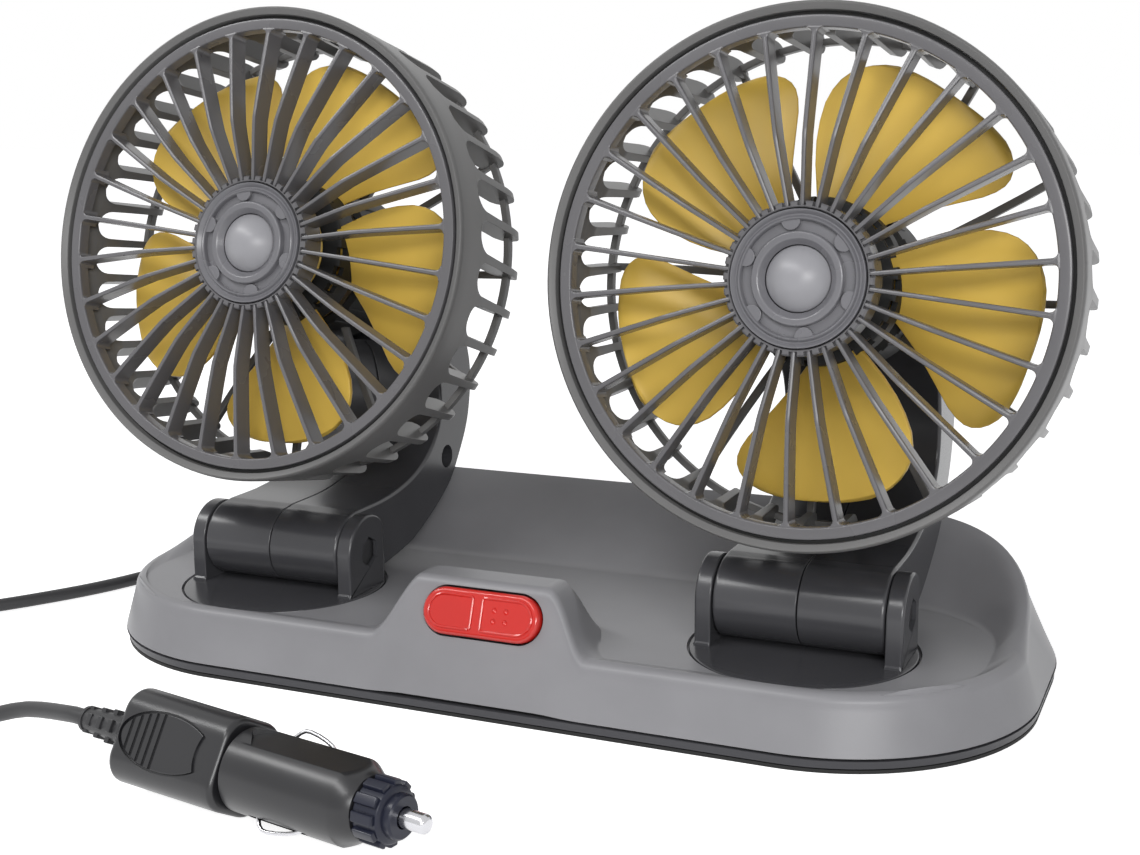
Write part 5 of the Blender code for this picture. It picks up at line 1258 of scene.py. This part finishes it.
def make_plug_barrel():
    """The barrel with its end chamfer and the channels of its side contacts."""
    start, end = BARREL_START, BARREL_START + PLUG_BARREL_LENGTH
    barrel = turned("barrel", [(PLUG_BORE_RADIUS, end), (0.0066, end), (0.0070, end - 0.0002),
                               (PLUG_BARREL_RADIUS, end - 0.0040),
                               (PLUG_BARREL_RADIUS, start + 0.0008),
                               (PLUG_BARREL_RADIUS - 0.0009, start + 0.0006),
                               (PLUG_BARREL_RADIUS - 0.0009, start), (PLUG_BORE_RADIUS, start)],
                    72, closed=True)
    lay_along(barrel)
    for side in (-1, 1):
        facet = [(start + 0.0024, 0.0), (start + 0.0064, 0.0048), (end + 0.010, 0.0048),
                 (end + 0.010, -0.0048), (start + 0.0064, -0.0048)]
        cut(barrel, prism("facet", facet, PLUG_BARREL_RADIUS - 0.0011, PLUG_BARREL_RADIUS + 0.004,
                          lambda u, v, along: Vector((u, side * v, side * along))))
        turn = math.radians(-90) + WIRE_TURN if side > 0 else math.radians(90) + WIRE_TURN
        slot = block((WIRE_LENGTH + 4 * WIRE_RADIUS, 0.0024, 0.0044),
                     (start + WIRE_START + WIRE_LENGTH / 2, 0.0, PLUG_BARREL_RADIUS - 0.0015))
        slot.matrix_world = Matrix.Rotation(turn, 4, "X")
        cut(barrel, slot)
    return smooth(barrel)


def make_wire(name, side):
    """One sprung side contact, a wire that bows out of its slot."""
    start = BARREL_START + WIRE_START
    inside = PLUG_BARREL_RADIUS - 2 * WIRE_RADIUS
    out = PLUG_BARREL_RADIUS + WIRE_PROUD
    marks = ((0.00, 0.0), (0.06, 0.30), (0.14, 0.75), (0.22, 0.97), (0.32, 1.0), (0.50, 0.90),
             (0.68, 0.72), (0.84, 0.48), (0.94, 0.20), (1.0, 0.0))
    rings = []
    outward = Vector((0.0, side * math.cos(WIRE_TURN), side * math.sin(WIRE_TURN)))
    aside = Vector((1.0, 0.0, 0.0)).cross(outward)
    centres = [Vector((start + WIRE_LENGTH * along, 0.0, 0.0))
               + outward * (inside + (out - inside) * share) for along, share in marks]
    for i, centre in enumerate(centres):
        run = (centres[min(i + 1, len(centres) - 1)] - centres[max(i - 1, 0)]).normalized()
        up = aside.cross(run)
        rings.append([centre + WIRE_RADIUS * 0.8 * (math.cos(math.radians(45 * k)) * aside
                                                    + math.sin(math.radians(45 * k)) * up)
                      for k in range(8)])
    return smooth(walk(name, rings, cap_first=True, cap_last=True), 50.0)


def make_plug_cap():
    """The ribbed screw cap with its stepped end."""
    start = BARREL_START + PLUG_BARREL_LENGTH + GAP
    end = start + PLUG_CAP_LENGTH
    hole = PLUG_TIP_RADIUS + GAP
    cap = turned("cap", [(hole, end), (0.0044, end), (0.0048, end - 0.0004), (0.0048, end - 0.0020),
                         (0.0058, end - 0.0022), (0.0062, end - 0.0026), (0.0062, start),
                         (PLUG_BORE_RADIUS, start), (PLUG_BORE_RADIUS, end - PLUG_CAP_WALL),
                         (hole, end - PLUG_CAP_WALL)], 64, closed=True)
    rib = block((0.0022, 0.0024, PLUG_CAP_LENGTH - 0.0030),
                (PLUG_CAP_RADIUS - 0.0011, 0.0, (start + end) / 2 - 0.0014))
    ribs = spun_copies(soften(rib, 0.0004, 2), CAP_RIBS)
    return smooth(lay_along(joined("plug_cap_ribbed", [cap, ribs])))


def make_plug_tip():
    """The chrome centre contact."""
    end = BARREL_START + PLUG_BARREL_LENGTH + GAP + PLUG_CAP_LENGTH + PLUG_TIP_LENGTH
    collar_front = end - PLUG_TIP_LENGTH - PLUG_CAP_WALL - GAP
    radius = PLUG_TIP_RADIUS
    tip = turned("tip", [(0.0, end), (radius * 0.5, end), (radius * 0.8, end - 0.0003),
                         (radius * 0.96, end - 0.0007), (radius, end - 0.0012),
                         (radius, collar_front), (0.0033, collar_front),
                         (0.0033, collar_front - 0.0016), (0.0, collar_front - 0.0016)], 40)
    return smooth(lay_along(tip))


def make_relief():
    """The plug's ribbed strain relief, ribs in pairs that are turned to each other."""
    core = turned("relief", [(0.0, -GAP), (0.0050, -GAP), (0.0050, -0.0014), (0.0046, -0.0018),
                             (0.0034, -0.0020), (0.0028, -0.0190), (0.0031, -0.0190),
                             (0.0031, -0.0199), (0.0, -0.0199)], 40)
    lay_along(core)
    pieces = [core]
    for rib in range(RELIEF_RIBS):
        place = -0.0045 - RELIEF_RIB_PITCH * rib
        size = 0.0088 - 0.0008 * rib
        for step, sizes in ((0.0, (0.0030, size)), (0.0019, (size, 0.0030))):
            bar = block((0.0015, *sizes), (place - step, 0.0, 0.0))
            pieces.append(soften(bar, 0.0003, 2))
    return rolled(smooth(joined("relief_ribbed", pieces)))


def make_plug():
    """Every piece of the plug, made along X and carried to its place on the floor."""
    placed = []
    for shape, name, body, material, slot, node in (
            (make_grip(), "plug_grip", "base", PLUG_BLACK, "plug_black", "plug_body"),
            (make_plug_barrel(), "plug_shell", "base", PLUG_BLACK, "plug_black", "plug_barrel"),
            (make_wire("wire", 1), "plug_wire_upper", "base", CHROME, "bright_metal",
             "plug_contact_upper"),
            (make_wire("wire", -1), "plug_wire_lower", "base", CHROME, "bright_metal",
             "plug_contact_lower"),
            (make_plug_cap(), "plug_screw_cap", "base", CAP_BLACK, "plug_black", "plug_cap"),
            (make_plug_tip(), "plug_pin", "plunger", CHROME, "bright_metal", "plug_tip"),
            (make_relief(), "plug_strain_relief", "base", CORD_BLACK, "cord_black",
             "plug_relief")):
        piece = placed_copy(shape, name, PLUG_PLACE)
        bpy.data.objects.remove(shape, do_unlink=True)
        placed.append(finish_piece(piece, body, material, slot, node))
    return placed


# The pieces, in their places
make_base()
make_gland()
make_switch()

table_shape = make_turntable()
arm_shapes = {"left": make_arm_half(-1), "right": make_arm_half(1)}
head_shapes = (
    (make_cage(), "cage", "head", CAGE_GRAPHITE, "cage_graphite", "rear_cage"),
    (make_housing(), "motor_housing", "head", BLACK_AND_GAP_SHADE, "inner_black", "rear_cage"),
    (make_grille(), "grille", "head", GRILLE_GRAPHITE, "cage_graphite", "front_grille"),
    # The groove's black ring is painted shade standing in for the gap's depth
    (make_groove_shade(), "rim_groove", "head", BLACK_AND_GAP_SHADE, "inner_black", "front_grille"),
    (make_hub_ring(), "hub_trim", "head", HUB_GRAPHITE, "hub_graphite", "hub_ring"),
    (make_hub_cap(), "hub_dome", "head", DOME_GREY, "hub_graphite", "hub_cap"),
    (make_impeller(), "blades", "fan", MUSTARD, "mustard", "impeller"),
    (make_skirt(), "blade_skirt", "fan", BLACK_AND_GAP_SHADE, "inner_black", "impeller"))
for name in SIDES:
    x, y, _ = JOINTS[name + "table_swivel"]["pos_m"]
    table = placed_copy(table_shape, name + "table_disc", Matrix.Translation((x, y, FLOOR_HEIGHT)))
    finish_piece(table, name + "table", GRAPHITE, "graphite", name + "turntable")
    hinge = Matrix.Translation(JOINTS[name + "arm_hinge"]["pos_m"])
    for half, shape in arm_shapes.items():
        arm = placed_copy(shape, f"{name}arm_{half}_shell", hinge)
        finish_piece(arm, name + "arm", GRAPHITE, "graphite", f"{name}arm_{half}_half")
    for shape, label, body, material, slot, node in head_shapes:
        piece = placed_copy(shape, name + label, head_matrix(name))
        finish_piece(piece, name + body, material, slot, name + node)
for shape in [table_shape, *arm_shapes.values(), *(row[0] for row in head_shapes)]:
    bpy.data.objects.remove(shape, do_unlink=True)

cord, cord_exit, cord_length = make_cord()
tie = make_coil_tie()
plug_pieces = make_plug()

# The CAD pieces that are left showing
PLAIN = {
    "base_cover": PAD_BLACK, "circuit_board": BOARD_GREEN,
    "switch_body": BLACK_AND_GAP_SHADE, "plug_fuse": FUSE_GLASS, "plug_spring": STEEL,
    "turntable_clip": BLACK_AND_GAP_SHADE, "hinge_bolt": DARK_STEEL, "hinge_nut": DARK_STEEL,
    "arm_screw": DARK_STEEL,
    "head_pin": STEEL, "motor_shaft": STEEL, "motor": ALUMINIUM, "cover_screw": STEEL}
for node, obj in frame["nodes"].items():
    for ending, material in PLAIN.items():
        if ending in node:
            obj.data.materials.clear()
            obj.data.materials.append(material)
            break


# Stage, light and background
FLOOR_GLOW = 0.80
GLOW_START = 0.25
GLOW_END = 0.60
SOFT_LIGHT = 0.12


def add_area(name, place, target, size, power):
    """A soft rectangular light that faces its target."""
    bpy.ops.object.light_add(type="AREA", location=place)
    light = bpy.context.object
    light.name = name
    light.data.shape = "RECTANGLE"
    light.data.size, light.data.size_y = size
    light.data.energy = power
    light.rotation_euler = (Vector(target) - Vector(place)).to_track_quat("-Z", "Y").to_euler()


def seen_directly(tree):
    """One where the camera, a mirror or glass looks, and nothing for the light itself."""
    path = add_node(tree, "LightPath")
    first = add_node(tree, "Math", "MAXIMUM")
    second = add_node(tree, "Math", "MAXIMUM")
    connect(tree, (path, "Is Camera Ray", first, 0), (path, "Is Glossy Ray", first, 1),
            (first, "Value", second, 0), (path, "Is Transmission Ray", second, 1))
    return second


def make_stage():
    """A white floor that keeps a soft shadow near the object and glows white far from it."""
    bpy.ops.mesh.primitive_plane_add(size=8.0, location=(0.0, 0.0, 0.0))
    floor = bpy.context.object
    floor.name = "floor"
    material = bpy.data.materials.new("white_floor")
    tree, shader = nodes_of(material)
    set_inputs(shader, Base_Color=(0.90, 0.90, 0.90, 1.0), Roughness=1.0, Specular_IOR_Level=0.0,
               Emission_Color=(1.0, 1.0, 1.0, 1.0))
    coords = add_node(tree, "TexCoord")
    length = add_node(tree, "VectorMath", "LENGTH")
    far = add_node(tree, "MapRange", From_Min=GLOW_START, From_Max=GLOW_END,
                   To_Min=FLOOR_GLOW, To_Max=1.0)
    strength = add_node(tree, "Math", "MULTIPLY")
    connect(tree, (coords, "Object", length, 0), (length, "Value", far, "Value"),
            (far, "Result", strength, 1), (seen_directly(tree), "Value", strength, 0),
            (strength, "Value", shader, "Emission Strength"))
    floor.data.materials.append(material)


def make_world():
    """White where the camera looks past the floor, and soft light from all round."""
    world = bpy.data.worlds.new("studio")
    bpy.context.scene.world = world
    world.use_nodes = True
    tree = world.node_tree
    tree.nodes.clear()
    output = add_node(tree, "OutputWorld")
    mix = add_node(tree, "MixShader")
    white = add_node(tree, "Background", Color=(1.0, 1.0, 1.0, 1.0))
    soft = add_node(tree, "Background", Color=(0.90, 0.92, 1.0, 1.0), Strength=SOFT_LIGHT)
    connect(tree, (seen_directly(tree), "Value", mix, "Fac"), (soft, "Background", mix, 1),
            (white, "Background", mix, 2), (mix, "Shader", output, "Surface"))


make_stage()
make_world()
add_area("key", (0.66, -1.05, 0.46), (0.0, 0.0, 0.07), (0.70, 0.30), 8.5)
add_area("strip", (-0.42, -0.62, 0.84), (0.0, -0.04, 0.04), (1.30, 0.14), 7.0)
bpy.context.scene.view_settings.view_transform = "Standard"
